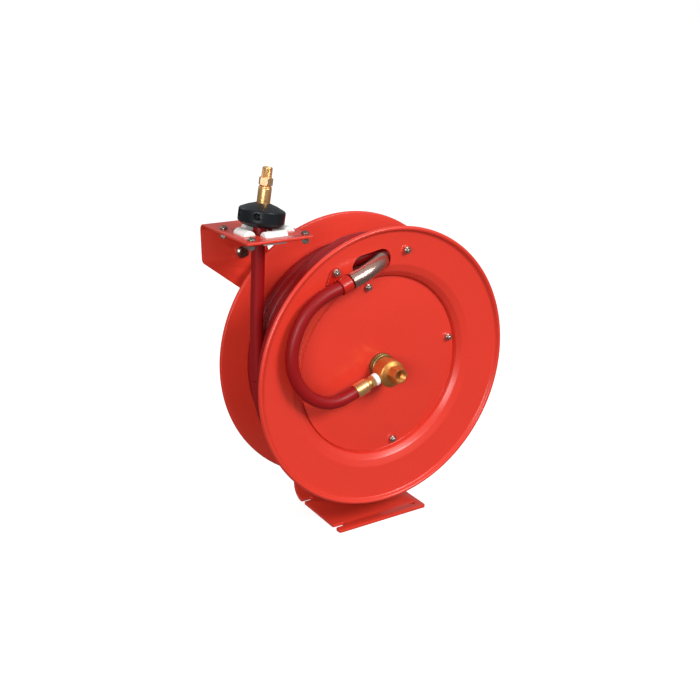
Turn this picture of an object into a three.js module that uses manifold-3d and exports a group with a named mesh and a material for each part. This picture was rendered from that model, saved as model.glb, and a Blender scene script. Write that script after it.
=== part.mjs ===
// Spring-rewind hose reel: a two-flange spool on a bent-plate pedestal, with a roller guide.
// Millimetres, +Z up. The origin is on the underside of the foot, straight below the spool's
// axis. The spool turns about Y. Its front, with the swivel, faces -Y, and the guide is at -X.

import * as THREE from 'three';
import Module from 'manifold-3d';
import { mergeVertices } from 'three/addons/utils/BufferGeometryUtils.js';

// ---- Driving dimensions ----
const GAP = 0.3;                // clearance between pieces that touch
const AXIS_HEIGHT = 253;        // spool axis above the foot's underside
const ROUND = 32;               // sides of a large turned part
const SMALL_ROUND = 12;         // sides of a small turned part
const AXLE_ROUND = 16;          // sides of the shaft and of what fits it or the hose
const BOLT_ROUND = 8;           // sides of a bolt's shank

const FLANGE_RADIUS = 216;      // 17 in flange
const RIM_OFFSET = 66;          // rim plane from the spool's middle
const RING_OFFSET = 58;         // face of the flange ring
const SHEET = 1.6;              // flange ring sheet
const DISC_RADIUS = 137.2;
const DISC_OFFSET = 41.4;       // outer face of an end disc
const DISC_SHEET = 1.7;
const LAND_RADIUS = 118;        // inner edge of the land that carries a disc
const LAND_OFFSET = DISC_OFFSET - DISC_SHEET - GAP;
const DRUM_RADIUS = 140;
const DRUM_WALL = 1.7;
const DISC_BOLT_CIRCLE = 127.5;
const DISC_BOLT_ANGLE = 101;    // degrees, the other three follow at right angles
const RING_BOLTS = [[180, 80.3], [183.8, 119.4]];  // radius and degrees
const RING_BOLT_SEAT = 1.1;     // clearance that lets a bolt's flat seat clear the coned face
const M6_NUT_RADIUS = 5.8;      // to a corner
const CLIP_SHEET = 2;

const HOSE_DIAMETER = 19;       // 3/4 in outside, for a 3/8 in bore
const HOSE_RADIUS = HOSE_DIAMETER / 2;
const LAYER_RADII = [151, 167.5, 184];
const HOSE_SIDES = 10;

const SHAFT_RADIUS = 10;
const STEM_RADIUS = 7;
const COLLAR_FRONT = 52;        // outward distances along the spool's axis
const SWIVEL_BACK = 53;
const SWIVEL_MIDDLE = 67;
const SWIVEL_FRONT = 79;
const INLET_END = 96;
const SWIVEL_BORE = 9.6;
const SWIVEL_SECTION = [        // outside of the body, turned about a line below its bore
  [0, -SWIVEL_FRONT],
  [14, -SWIVEL_FRONT],
  [19.3, 2.7 - SWIVEL_FRONT],
  [20.8, 4.2 - SWIVEL_FRONT],
  [20.8, -SWIVEL_BACK],
  [0, -SWIVEL_BACK],
];
const SWIVEL_SHIFT = [-0.5, -3.3];  // x and z of that line from the bore
const OUTLET_ANGLE = 200;       // degrees, direction of the swivel's side outlet
const FERRULE_END = 64;         // outlet lengths are measured from the spool's axis

const POST_BACK = 85;           // back face of the post and of the bracket
const PLATE = 5;                // foot and post plate
const FOOT_HALF = 81;
const FOOT_FRONT = -60;
const FOOT_BEND = 24;           // outer radius of the foot's bend
const POST_TOP = 335;
const POST_CORNER = 35;
const FOOT_HOLE_ROWS = [-44, 55];
const FOOT_HOLE_X = 65.5;
const FOOT_SLOT_X = -67;
const FOOT_HOLE_RADIUS = 4.25;

const GUIDE = new THREE.Vector3(-173, -8, AXIS_HEIGHT + 217.5);  // middle of the top plate
const BRACKET_SHEET = 3;
const BRACKET_BEND = 10;
const BRACKET_LEFT = -227;
const BRACKET_RIGHT = -127.5;
const BRACKET_FRONT = -66;
const ROLLER_OFFSET = 30;
const ROLLER_RADIUS = 9.35;
const ROLLER_LENGTH = 34.5;
const ROLLER_WINDOW = 18.3;     // half length of a roller's window
const PIN_RADIUS = 2;
const PIN_LENGTH = 50;
const PIN_DROP = BRACKET_SHEET + GAP / 2;  // the pins lie half in each of the two plates
const GUIDE_BOLT_RADIUS = 3;
const GUIDE_BOLT_X = 40.5;
const GUIDE_BOLT_Y = 42.5;
const RETAINER_SHEET = 3;
const RETAINER_HALF_X = 45;
const RETAINER_HALF_Y = 48;

const ARM_THICKNESS = 5;
const ARM_HALF_WIDTH = 21;
const ARM_TOP = [-163, AXIS_HEIGHT + 168.7];
const ARM_BOLTS = [ARM_TOP, [-136, AXIS_HEIGHT + 140]];
const POST_BOLTS = [[-66, AXIS_HEIGHT + 60], [-46, AXIS_HEIGHT + 37]];
const M8_RADIUS = 4;

const CANISTER_RADIUS = 100;
const CANISTER_BACK = 66;
const CANISTER_SHEET = 1.5;
const ARBOR_RADIUS = 18;
const SPRING_TURNS = 4;
const SPRING_STRIP = 1.4;
const RATCHET_FRONT = 70.5;
const RATCHET_THICKNESS = 5;
const RATCHET_RADIUS = 46;
const RATCHET_TEETH = 12;
const PAWL_PIVOT = [52, -48];   // x and z from the spool's axis

const STOP_BASE = new THREE.Vector3(-177, -5, GUIDE.z + 7.6);
const STOP_TILT = 9.5;          // degrees, the hose end leans towards +X
const STOP_TURN = 20.6;         // degrees, the stop's seam is turned about the hose
const STOP_SECTION = [
  [0, 0],
  [25, 0],
  [32.3, 5],
  [32.3, 21.5],
  [30.8, 23.2],
  [21, 27.8],
  [11.5, 31],
  [0, 31],
];
const STOP_BORE = 9.9;
const STOP_SCREW_Y = 16.5;
const STOP_SCREW_Z = 15;
const FERRULE_START = 29;       // distances along the hose end from the stop's bottom

// ---- Solids and booleans ----
const wasm = await Module();
wasm.setup();

function radians(degrees) {
  return degrees * Math.PI / 180;
}

// A bare closed geometry: shared vertices merged, flat triangles dropped, faces pointing out.
function closed(geometry) {
  const bare = geometry.clone();
  bare.deleteAttribute('normal');
  bare.deleteAttribute('uv');
  const merged = mergeVertices(bare, 1e-3);
  const place = merged.attributes.position;
  const kept = [];
  let volume = 0;
  const corner = [new THREE.Vector3(), new THREE.Vector3(), new THREE.Vector3()];
  for (let i = 0; i < merged.index.count; i += 3) {
    const ids = [0, 1, 2].map((k) => merged.index.getX(i + k));
    if (new Set(ids).size < 3) {
      continue;
    }
    ids.forEach((id, k) => corner[k].fromBufferAttribute(place, id));
    volume += corner[0].dot(corner[1].clone().cross(corner[2]));
    kept.push(ids);
  }
  const turned = volume < 0 ? kept.map(([a, b, c]) => [a, c, b]) : kept;
  merged.setIndex(turned.flat());
  return merged;
}

function toSolid(geometry) {
  const bare = closed(geometry);
  return new wasm.Manifold(new wasm.Mesh({
    numProp: 3,
    vertProperties: new Float32Array(bare.attributes.position.array),
    triVerts: new Uint32Array(bare.index.array),
  }));
}

function toGeometry(solid) {
  const mesh = solid.getMesh();
  const geometry = new THREE.BufferGeometry();
  geometry.setAttribute('position', new THREE.BufferAttribute(mesh.vertProperties, 3));
  geometry.setIndex(new THREE.BufferAttribute(mesh.triVerts, 1));
  return geometry;
}

function cut(geometry, ...tools) {
  let solid = toSolid(geometry);
  for (const tool of tools) {
    solid = solid.subtract(toSolid(tool));
  }
  return toGeometry(solid);
}

function join(geometry, ...others) {
  let solid = toSolid(geometry);
  for (const other of others) {
    solid = solid.add(toSolid(other));
  }
  return toGeometry(solid);
}

function overlap(geometry, other) {
  return toGeometry(toSolid(geometry).intersect(toSolid(other)));
}

// ---- Basic shapes ----
// A turned part about Y from its [radius, y] outline.
function turned(outline, sides = ROUND) {
  const points = outline.map(([radius, y]) => new THREE.Vector2(radius, y));
  if (outline[0][0] > 0 || outline.at(-1)[0] > 0) {
    points.push(points[0].clone());
  }
  return closed(new THREE.LatheGeometry(points, sides));
}

function washer(inner, outer, y0, y1, sides = ROUND) {
  return turned([[inner, y0], [outer, y0], [outer, y1], [inner, y1]], sides);
}

// A round or hexagonal bar along Y between two places.
function bar(radius, y0, y1, sides = SMALL_ROUND) {
  const geometry = new THREE.CylinderGeometry(radius, radius, Math.abs(y1 - y0), sides);
  return geometry.translate(0, (y0 + y1) / 2, 0);
}

function box(x0, x1, y0, y1, z0, z1) {
  const geometry = new THREE.BoxGeometry(x1 - x0, y1 - y0, z1 - z0);
  return geometry.translate((x0 + x1) / 2, (y0 + y1) / 2, (z0 + z1) / 2);
}

// A slab of an outline drawn in X and Z, from y0 to y1.
function slab(shape, y0, y1, curveSegments = 6) {
  const geometry = new THREE.ExtrudeGeometry(shape, {
    depth: y1 - y0, bevelEnabled: false, curveSegments,
  });
  return geometry.rotateX(Math.PI / 2).translate(0, y1, 0);
}

// A strip of an outline drawn in Y and Z, from x0 to x1.
function strip(shape, x0, x1, curveSegments = 6) {
  const geometry = new THREE.ExtrudeGeometry(shape, {
    depth: x1 - x0, bevelEnabled: false, curveSegments,
  });
  const turn = new THREE.Matrix4().makeBasis(
    new THREE.Vector3(0, 1, 0), new THREE.Vector3(0, 0, 1), new THREE.Vector3(1, 0, 0),
  );
  return geometry.applyMatrix4(turn).translate(x0, 0, 0);
}

function polygon(points) {
  return new THREE.Shape(points.map(([x, y]) => new THREE.Vector2(x, y)));
}

// A solid or hollow tube along a smooth route.
function tube(route, steps, outer, inner = 0, sides = HOSE_SIDES) {
  const section = new THREE.Shape();
  section.absarc(0, 0, outer, 0, 2 * Math.PI, false);
  if (inner > 0) {
    const bore = new THREE.Path();
    bore.absarc(0, 0, inner, 0, 2 * Math.PI, true);
    section.holes.push(bore);
  }
  const extrudePath = new THREE.CatmullRomCurve3(route.map((p) => new THREE.Vector3(...p)));
  return new THREE.ExtrudeGeometry(section, { steps, extrudePath, curveSegments: sides / 2 });
}

function onCircle(radius, degrees, y = 0) {
  return new THREE.Vector3(
    radius * Math.cos(radians(degrees)), y, radius * Math.sin(radians(degrees)),
  );
}

// ---- Finishes ----
function finish(color, roughness, metalness) {
  return new THREE.MeshStandardMaterial({ color, roughness, metalness });
}

const RED_PAINT = finish(0xd8362a, 0.35, 0.1);
const RED_HOSE = finish(0x8f1d20, 0.5, 0);
const BRASS = finish(0xc9963f, 0.3, 0.9);
const ZINC = finish(0xb8b6b0, 0.35, 0.9);
const STEEL = finish(0x8d8f92, 0.4, 0.9);
const POLISHED = finish(0xcfcac6, 0.18, 1);
const NYLON = finish(0xf0ede6, 0.45, 0);
const BLACK_RUBBER = finish(0x1c2226, 0.55, 0);
const SPRING_STEEL = finish(0x4a4f55, 0.4, 0.9);
const TAPE = finish(0xf7f7f4, 0.6, 0);

const model = new THREE.Group();
const spool = new THREE.Group();
spool.position.z = AXIS_HEIGHT;
const fixedOnAxis = new THREE.Group();
fixedOnAxis.position.z = AXIS_HEIGHT;
const guide = new THREE.Group();
guide.position.copy(GUIDE);
const hoseEnd = new THREE.Group();
hoseEnd.position.copy(STOP_BASE);
hoseEnd.rotation.y = radians(STOP_TILT);
model.add(spool, fixedOnAxis, guide, hoseEnd);

function add(group, name, geometry, material) {
  const mesh = new THREE.Mesh(geometry, material);
  mesh.name = name;
  group.add(mesh);
  return mesh;
}

// ---- Pedestal: one plate bent into a foot and a post ----
function pedestal() {
  const bendY = POST_BACK - FOOT_BEND;
  const profile = new THREE.Shape();
  profile.moveTo(FOOT_FRONT, 0);
  profile.lineTo(bendY, 0);
  profile.absarc(bendY, FOOT_BEND, FOOT_BEND, -Math.PI / 2, 0, false);
  profile.lineTo(POST_BACK, POST_TOP);
  profile.lineTo(POST_BACK - PLATE, POST_TOP);
  profile.lineTo(POST_BACK - PLATE, FOOT_BEND);
  profile.absarc(bendY, FOOT_BEND, FOOT_BEND - PLATE, 0, -Math.PI / 2, true);
  profile.lineTo(FOOT_FRONT, PLATE);
  const plate = strip(profile, -FOOT_HALF, FOOT_HALF);

  const top = new THREE.Shape();
  top.moveTo(-FOOT_HALF, -1);
  top.lineTo(FOOT_HALF, -1);
  top.lineTo(FOOT_HALF, POST_TOP - POST_CORNER);
  top.absarc(FOOT_HALF - POST_CORNER, POST_TOP - POST_CORNER, POST_CORNER, 0, Math.PI / 2, false);
  top.lineTo(POST_CORNER - FOOT_HALF, POST_TOP);
  top.absarc(POST_CORNER - FOOT_HALF, POST_TOP - POST_CORNER, POST_CORNER,
    Math.PI / 2, Math.PI, false);
  const outline = slab(top, FOOT_FRONT - 1, POST_BACK + 1);

  const tools = [];
  for (const y of FOOT_HOLE_ROWS) {
    tools.push(upright(FOOT_HOLE_RADIUS, FOOT_HOLE_X, y, -1, PLATE + 1));
    tools.push(upright(FOOT_HOLE_RADIUS, FOOT_SLOT_X, y, -1, PLATE + 1));
    tools.push(box(-FOOT_HALF - 1, FOOT_SLOT_X, y - FOOT_HOLE_RADIUS, y + FOOT_HOLE_RADIUS,
      -1, PLATE + 1));
  }
  for (const [x, z] of POST_BOLTS) {
    tools.push(throughPost(M8_RADIUS + GAP, x, z));
  }
  tools.push(throughPost(SHAFT_RADIUS + GAP, 0, AXIS_HEIGHT, AXLE_ROUND));
  tools.push(throughPost(M8_RADIUS + GAP, PAWL_PIVOT[0], AXIS_HEIGHT + PAWL_PIVOT[1]));
  return cut(overlap(plate, outline), ...tools);
}

function upright(radius, x, y, z0, z1, sides = SMALL_ROUND) {
  const geometry = new THREE.CylinderGeometry(radius, radius, z1 - z0, sides);
  return geometry.rotateX(Math.PI / 2).translate(x, y, (z0 + z1) / 2);
}

function throughPost(radius, x, z, sides = BOLT_ROUND) {
  return bar(radius, POST_BACK - PLATE - 5, POST_BACK + 10, sides).translate(x, 0, z);
}

add(model, 'pedestal', pedestal(), RED_PAINT);

// ---- Guide bracket, its arm and their bolts ----
function rollerWindows(z0, z1) {
  const reach = ROLLER_OFFSET + ROLLER_RADIUS + 1;
  const half = ROLLER_WINDOW;
  return join(box(-reach, reach, -half, half, z0, z1), box(-half, half, -reach, reach, z0, z1));
}

function guideCorners() {
  const corners = [];
  for (const x of [-GUIDE_BOLT_X, GUIDE_BOLT_X]) {
    for (const y of [-GUIDE_BOLT_Y, GUIDE_BOLT_Y]) {
      corners.push([x, y]);
    }
  }
  return corners;
}

// Round grooves for the four roller pins, as tools about the guide's middle.
function pinGrooves() {
  const radius = PIN_RADIUS + GAP;
  const half = PIN_LENGTH / 2 + GAP;
  return [-ROLLER_OFFSET, ROLLER_OFFSET].flatMap((offset) => [
    bar(radius, -half, half).translate(offset, 0, -PIN_DROP),
    across(radius, -half, half, offset, -PIN_DROP, SMALL_ROUND),
  ]);
}

function guideBracket() {
  const top = GUIDE.z;
  const bendY = POST_BACK - BRACKET_BEND;
  const bendZ = top - BRACKET_BEND;
  const low = AXIS_HEIGHT + 100;
  const profile = new THREE.Shape();
  profile.moveTo(BRACKET_FRONT, top - BRACKET_SHEET);
  profile.lineTo(bendY, top - BRACKET_SHEET);
  profile.absarc(bendY, bendZ, BRACKET_BEND - BRACKET_SHEET, Math.PI / 2, 0, true);
  profile.lineTo(POST_BACK - BRACKET_SHEET, low);
  profile.lineTo(POST_BACK, low);
  profile.lineTo(POST_BACK, bendZ);
  profile.absarc(bendY, bendZ, BRACKET_BEND, 0, Math.PI / 2, false);
  profile.lineTo(BRACKET_FRONT, top);
  const sheet = strip(profile, BRACKET_LEFT - 1, -110);

  const outline = polygon([
    [BRACKET_LEFT, top + 1],
    [BRACKET_LEFT, bendZ],
    [-226.5, AXIS_HEIGHT + 160],
    [-150, low],
    [-118, low],
    [-118, AXIS_HEIGHT + 160],
    [BRACKET_RIGHT, AXIS_HEIGHT + 195],
    [BRACKET_RIGHT, top + 1],
  ]);
  const tools = [rollerWindows(-10, 10), ...pinGrooves()];
  for (const [x, y] of guideCorners()) {
    tools.push(upright(GUIDE_BOLT_RADIUS + GAP, x, y, -10, 10));
  }
  tools.forEach((tool) => tool.translate(GUIDE.x, GUIDE.y, GUIDE.z));
  for (const [x, z] of ARM_BOLTS) {
    tools.push(throughPost(M8_RADIUS + GAP, x, z));
  }
  return cut(overlap(sheet, slab(outline, BRACKET_FRONT - 1, POST_BACK + 1)), ...tools);
}

function guideArm() {
  const [x0, z0] = POST_BOLTS[1];
  const [x1, z1] = ARM_TOP;
  const length = Math.hypot(x1 - x0, z1 - z0);
  const outline = new THREE.Shape();
  outline.absarc(length, 0, ARM_HALF_WIDTH, -Math.PI / 2, Math.PI / 2, false);
  outline.absarc(0, 0, ARM_HALF_WIDTH, Math.PI / 2, 1.5 * Math.PI, false);
  const front = POST_BACK + GAP;
  const blank = slab(outline, front, front + ARM_THICKNESS);
  blank.rotateY(-Math.atan2(z1 - z0, x1 - x0)).translate(x0, 0, z0);
  const holes = [...ARM_BOLTS, ...POST_BOLTS].map(([x, z]) => throughPost(M8_RADIUS + GAP, x, z));
  return cut(blank, ...holes);
}

// A flange bolt along Y with its nut run on, from its head's seat to its nut's seat.
function flangeBolt(seat, nutSeat) {
  return join(
    bar(9, seat - 2, seat),
    bar(7, seat - 7.5, seat - 2, 6),
    bar(M8_RADIUS, seat - 3, nutSeat + 9, BOLT_ROUND),
    bar(7.5, nutSeat, nutSeat + 6.5, 6),
  );
}

add(model, 'guide_bracket', guideBracket(), RED_PAINT);
add(model, 'guide_arm', guideArm(), RED_PAINT);
const armBack = POST_BACK + 2 * GAP + ARM_THICKNESS;
ARM_BOLTS.forEach(([x, z], i) => {
  const bolt = add(model, `bracket_bolt_${i + 1}`,
    flangeBolt(POST_BACK - BRACKET_SHEET - GAP, armBack), ZINC);
  bolt.position.set(x, 0, z);
});
POST_BOLTS.forEach(([x, z], i) => {
  const bolt = add(model, `post_bolt_${i + 1}`, flangeBolt(POST_BACK - PLATE - GAP, armBack), ZINC);
  bolt.position.set(x, 0, z);
});

// ---- Roller guide ----
const retainerTop = -BRACKET_SHEET - GAP;

function rollerRetainer() {
  const plate = box(-RETAINER_HALF_X, RETAINER_HALF_X, -RETAINER_HALF_Y, RETAINER_HALF_Y,
    retainerTop - RETAINER_SHEET, retainerTop);
  const holes = guideCorners().map(([x, y]) => upright(GUIDE_BOLT_RADIUS + GAP, x, y, -20, 0));
  return cut(plate, rollerWindows(-20, 0), ...pinGrooves(), ...holes);
}

// A round-head bolt down through the bracket and the retainer, with its nut run on.
function guideBolt() {
  const nutTop = retainerTop - RETAINER_SHEET - GAP;
  const head = turned([[0, GAP], [5.5, GAP], [4.4, 3.4], [0, 4.3]], BOLT_ROUND);
  head.rotateX(Math.PI / 2);
  return join(
    head,
    upright(GUIDE_BOLT_RADIUS, 0, 0, nutTop - 7, GAP + 1, BOLT_ROUND),
    upright(M6_NUT_RADIUS, 0, 0, nutTop - 5, nutTop, 6),
  );
}

add(guide, 'roller_retainer', rollerRetainer(), RED_PAINT);
guideCorners().forEach(([x, y], i) => {
  add(guide, `guide_bolt_${i + 1}`, guideBolt(), ZINC).position.set(x, y, 0);
});

function placeRoller(name, x, y, turn) {
  const roller = add(guide, `${name}_roller`,
    washer(PIN_RADIUS + 0.5, ROLLER_RADIUS, -ROLLER_LENGTH / 2, ROLLER_LENGTH / 2, 16), NYLON);
  const pin = add(guide, `${name}_roller_pin`,
    bar(PIN_RADIUS, -PIN_LENGTH / 2, PIN_LENGTH / 2, BOLT_ROUND), STEEL);
  for (const piece of [roller, pin]) {
    piece.position.set(x, y, -PIN_DROP);
    piece.rotation.z = turn;
  }
}
placeRoller('left', -ROLLER_OFFSET, 0, 0);
placeRoller('right', ROLLER_OFFSET, 0, 0);
placeRoller('front', 0, -ROLLER_OFFSET, Math.PI / 2);
placeRoller('back', 0, ROLLER_OFFSET, Math.PI / 2);

// ---- Spool: flange rings, end discs and drum ----
// The ring's section, as [radius, outward distance]: land, lip, face, groove and rolled rim.
const RING_SECTION = [
  [LAND_RADIUS, LAND_OFFSET],
  [138.8, LAND_OFFSET],
  [140, 46],
  [147, 52.4],
  [158, 56.6],
  [207, 59.9],
  [210, 65],
  [213, RIM_OFFSET],
  [FLANGE_RADIUS, 62.5],
  [213.5, 59],
  [207, 59.9 - SHEET],
  [158.6, 56.6 - SHEET],
  [148, 50.9],
  [141.6, 45],
  [140.6, LAND_OFFSET - SHEET],
  [LAND_RADIUS, LAND_OFFSET - SHEET],
];
const SHEET_HOLE = 3.4;
const discBolts = [0, 90, 180, 270].map((turn) => [DISC_BOLT_CIRCLE, DISC_BOLT_ANGLE - turn]);

function facing(outline, side) {
  return outline.map(([radius, out]) => [radius, side * out]);
}

function boltHoles(places, y0, y1) {
  return places.map(([circle, angle]) => {
    const { x, z } = onCircle(circle, angle);
    return bar(SHEET_HOLE, y0, y1, BOLT_ROUND).translate(x, 0, z);
  });
}

// The oblong opening through which the hose enters the spool.
function hoseSlot() {
  const half = 16.2;
  const radius = 16.7;
  const outline = new THREE.Shape();
  outline.absarc(half, 0, radius, -Math.PI / 2, Math.PI / 2, false);
  outline.absarc(-half, 0, radius, Math.PI / 2, 1.5 * Math.PI, false);
  const tool = slab(outline, -70, -50, 8);
  return tool.rotateY(radians(-10)).translate(-28, 0, 164.3);
}

function flangeRing(side) {
  const ring = turned(facing(RING_SECTION, side));
  if (side > 0) {
    return ring;
  }
  return cut(ring, hoseSlot(), ...boltHoles(discBolts, -45, -30),
    ...boltHoles(RING_BOLTS, -65, -50));
}

function endDisc(side) {
  const disc = turned(facing([
    [14, DISC_OFFSET - DISC_SHEET],
    [DISC_RADIUS, DISC_OFFSET - DISC_SHEET],
    [DISC_RADIUS, DISC_OFFSET],
    [14, DISC_OFFSET],
  ], side));
  return side > 0 ? disc : cut(disc, ...boltHoles(discBolts, -45, -35));
}

function drum() {
  const end = LAND_OFFSET - SHEET - GAP;
  const shell = turned([
    [LAND_RADIUS, -end],
    [DRUM_RADIUS, -end],
    [DRUM_RADIUS, end],
    [LAND_RADIUS, end],
    [LAND_RADIUS, end - DRUM_WALL],
    [DRUM_RADIUS - DRUM_WALL, end - DRUM_WALL],
    [DRUM_RADIUS - DRUM_WALL, DRUM_WALL - end],
    [LAND_RADIUS, DRUM_WALL - end],
  ]);
  return cut(shell, ...boltHoles(discBolts, -45, -30));
}

// A flanged bush in an end disc's centre hole.
function bush(side) {
  const inside = DISC_OFFSET - DISC_SHEET - GAP;
  return turned(facing([
    [SHAFT_RADIUS + 0.4, inside - 6],
    [24, inside - 3],
    [24, inside],
    [13.6, inside],
    [13.6, DISC_OFFSET],
    [SHAFT_RADIUS + 0.4, DISC_OFFSET],
  ], side), AXLE_ROUND);
}

// A small bolt through the spool's sheets: flat head inside, locknut and bolt end outside.
function sheetBolt(inner, outer) {
  return join(
    bar(6, -inner, -inner + 1.6, BOLT_ROUND),
    bar(3, -outer - 7.5, -inner + 1, BOLT_ROUND),
    bar(M6_NUT_RADIUS, -outer - 5, -outer, 6),
  );
}

add(spool, 'front_flange_ring', flangeRing(-1), RED_PAINT);
add(spool, 'rear_flange_ring', flangeRing(1), RED_PAINT);
add(spool, 'front_disc', endDisc(-1), RED_PAINT);
add(spool, 'rear_disc', endDisc(1), RED_PAINT);
add(spool, 'drum', drum(), RED_PAINT);
add(spool, 'front_bush', bush(-1), NYLON);
add(spool, 'rear_bush', bush(1), NYLON);
const drumInside = LAND_OFFSET - SHEET - GAP - DRUM_WALL;
discBolts.forEach((place, i) => {
  const bolt = add(spool, `disc_bolt_${i + 1}`,
    sheetBolt(drumInside - GAP, DISC_OFFSET + GAP), ZINC);
  bolt.position.copy(onCircle(...place));
});
const clipFront = RING_OFFSET + RING_BOLT_SEAT + CLIP_SHEET;
[RING_OFFSET + RING_BOLT_SEAT, clipFront + GAP].forEach((seat, i) => {
  const inner = RING_OFFSET - SHEET - RING_BOLT_SEAT;
  const bolt = add(spool, `ring_bolt_${i + 1}`, sheetBolt(inner, seat), ZINC);
  bolt.position.copy(onCircle(...RING_BOLTS[i]));
});

// ---- Shaft, fixed to the post ----
function mainShaft() {
  return turned([
    [0, GAP - COLLAR_FRONT],
    [SHAFT_RADIUS, GAP - COLLAR_FRONT],
    [SHAFT_RADIUS, 77],
    [16, 77],
    [16, POST_BACK - PLATE - GAP],
    [SHAFT_RADIUS, POST_BACK - PLATE - GAP],
    [SHAFT_RADIUS, 100],
    [0, 100],
  ], AXLE_ROUND);
}

add(fixedOnAxis, 'main_shaft', mainShaft(), STEEL);
add(fixedOnAxis, 'shaft_washer',
  washer(SHAFT_RADIUS + GAP, 18, POST_BACK + GAP, POST_BACK + GAP + 2, AXLE_ROUND), ZINC);
add(fixedOnAxis, 'shaft_nut',
  cut(bar(17, POST_BACK + 2.6, POST_BACK + 12.6, 6), bar(SHAFT_RADIUS + GAP, 80, 105, AXLE_ROUND)),
  ZINC);
add(fixedOnAxis, 'front_collar',
  washer(SHAFT_RADIUS + GAP, 20, -COLLAR_FRONT, -DISC_OFFSET - GAP, AXLE_ROUND), BRASS);

// ---- Swivel: fixed inlet stem, turning body with a side outlet ----
function swivelStem() {
  const hex = bar(12.3, -INLET_END, -SWIVEL_FRONT - GAP, 6).rotateY(radians(30));
  const mouth = turned([[0, -INLET_END - 1], [9.6, -INLET_END - 1], [8, -INLET_END + 1.4],
    [8, -INLET_END + 11], [0, -INLET_END + 13]], AXLE_ROUND);
  const stem = bar(STEM_RADIUS, -INLET_END + 10, -SWIVEL_BACK, AXLE_ROUND);
  const chamfer = turned([[0, -INLET_END], [11.6, -INLET_END], [12.5, -INLET_END + 2],
    [12.5, -40], [0, -40]], AXLE_ROUND);
  return cut(overlap(join(hex, stem), chamfer), mouth);
}

// Turns a part drawn along Y into the outlet's direction, in the swivel's middle plane.
function alongOutlet(geometry) {
  const direction = onCircle(1, OUTLET_ANGLE);
  const turn = new THREE.Quaternion().setFromUnitVectors(new THREE.Vector3(0, 1, 0), direction);
  return geometry.applyQuaternion(turn).translate(0, -SWIVEL_MIDDLE, 0);
}

function swivelBody() {
  const [x, z] = SWIVEL_SHIFT;
  const body = turned(SWIVEL_SECTION, 24).translate(x, 0, z);
  const bore = bar(SWIVEL_BORE, -SWIVEL_FRONT - 1, 1 - SWIVEL_BACK, 24);
  return cut(body, bore, alongOutlet(bar(6.4, 0, 30)));
}

// The outlet's fitting: threaded stem, hexagon, neck and the ferrule crimped on the hose.
function gooseneckFitting() {
  const body = turned([
    [0, 11],
    [6, 11],
    [6, 30.9],
    [7.2, 36.9],
    [7.2, 40.9],
    [11, 43],
    [11, FERRULE_END],
    [HOSE_RADIUS + GAP, FERRULE_END],
    [HOSE_RADIUS + GAP, 45],
    [0, 45],
  ], AXLE_ROUND);
  return alongOutlet(join(body, bar(9.8, 30.9, 36.9, 6)));
}

add(fixedOnAxis, 'swivel_stem', swivelStem(), BRASS);
add(spool, 'swivel_body', swivelBody(), BRASS);
add(spool, 'swivel_seal', washer(STEM_RADIUS + GAP, 9.2, 3 - SWIVEL_FRONT, 6 - SWIVEL_FRONT,
  SMALL_ROUND), BLACK_RUBBER);
add(spool, 'sealing_tape', alongOutlet(washer(6.4, 9.6, 22.8, 30.3, SMALL_ROUND)), TAPE);
add(spool, 'gooseneck_fitting', gooseneckFitting(), BRASS);

// ---- Hose: gooseneck, coil and tail ----
const outletWay = onCircle(1, OUTLET_ANGLE);
const hoseStart = onCircle(46, OUTLET_ANGLE, -SWIVEL_MIDDLE);
const ferruleMouth = onCircle(FERRULE_END, OUTLET_ANGLE, -SWIVEL_MIDDLE);
const SLEEVE_ROUTE = [
  [-72, -71.6, 146.8],
  [-54, -71.2, 153],
  [-36.5, -67.3, 158.6],
  [-20, -59, 162.4],
  [-7, -49.5, 165],
];
const GOOSENECK_ROUTE = [
  hoseStart.toArray(),
  ferruleMouth.toArray(),
  ferruleMouth.clone().addScaledVector(outletWay, 10).toArray(),
  [-90, -68.5, -29.5],
  [-112, -70, -27],
  [-134, -71, -16],
  [-152, -71.5, 2],
  [-163, -71, 24],
  [-167, -71, 48],
  [-163, -71, 74],
  [-152, -71, 99],
  [-135, -71, 119],
  [-113, -71, 132.5],
  [-91, -71.4, 140],
  ...SLEEVE_ROUTE,
  [0, -44, 166.6],
];

// The wound hose as one ring: two full layers, and a third layer on the front half. Its last
// turn ends where the tail leaves it, and a recess takes the sleeve where the hose comes in.
function hoseCoil() {
  const [, second, third] = LAYER_RADII;
  const outer = second + HOSE_RADIUS - 0.5;
  const full = third + HOSE_RADIUS;
  const valley = third - HOSE_RADIUS - GAP;
  const side = 53.3;
  const ring = turned([
    [141.6, -40],
    [147, -46],
    [158, -50],
    [162, -side],
    [outer, -side],
    [full, -47.5],
    [full, -10.2],
    [valley, -10.2],
    [valley, 10.2],
    [outer, 10.2],
    [outer, side],
    [162, side],
    [158, 50],
    [147, 46],
    [141.6, 40],
  ]);
  const lastTurn = washer(170, full, -10.6, 9.4);
  const tailSector = polygon([[0, 0], [-400, 0], [-400, 400], [0, 400]]);
  const recess = box(-90, 14, -60, -24, 130, 200);
  return cut(join(ring, cut(lastTurn, slab(tailSector, -20, 20))), recess);
}

function hoseTail() {
  const up = new THREE.Vector3(Math.sin(radians(STOP_TILT)), 0, Math.cos(radians(STOP_TILT)));
  const along = (distance) => up.clone().multiplyScalar(distance).add(STOP_BASE).toArray();
  const base = AXIS_HEIGHT;
  return tube([
    [-184, 0, base + GAP],
    [-184.4, 0, base + 24],
    [-184.6, 0, base + 48],
    [-184.2, -0.4, base + 80],
    [-183, -1.6, base + 120],
    [-181.8, -3, base + 155],
    [-181.4, -4.2, base + 182],
    along(-22),
    along(0),
    along(14),
    along(FERRULE_START - GAP),
  ], 11, HOSE_RADIUS);
}

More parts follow.
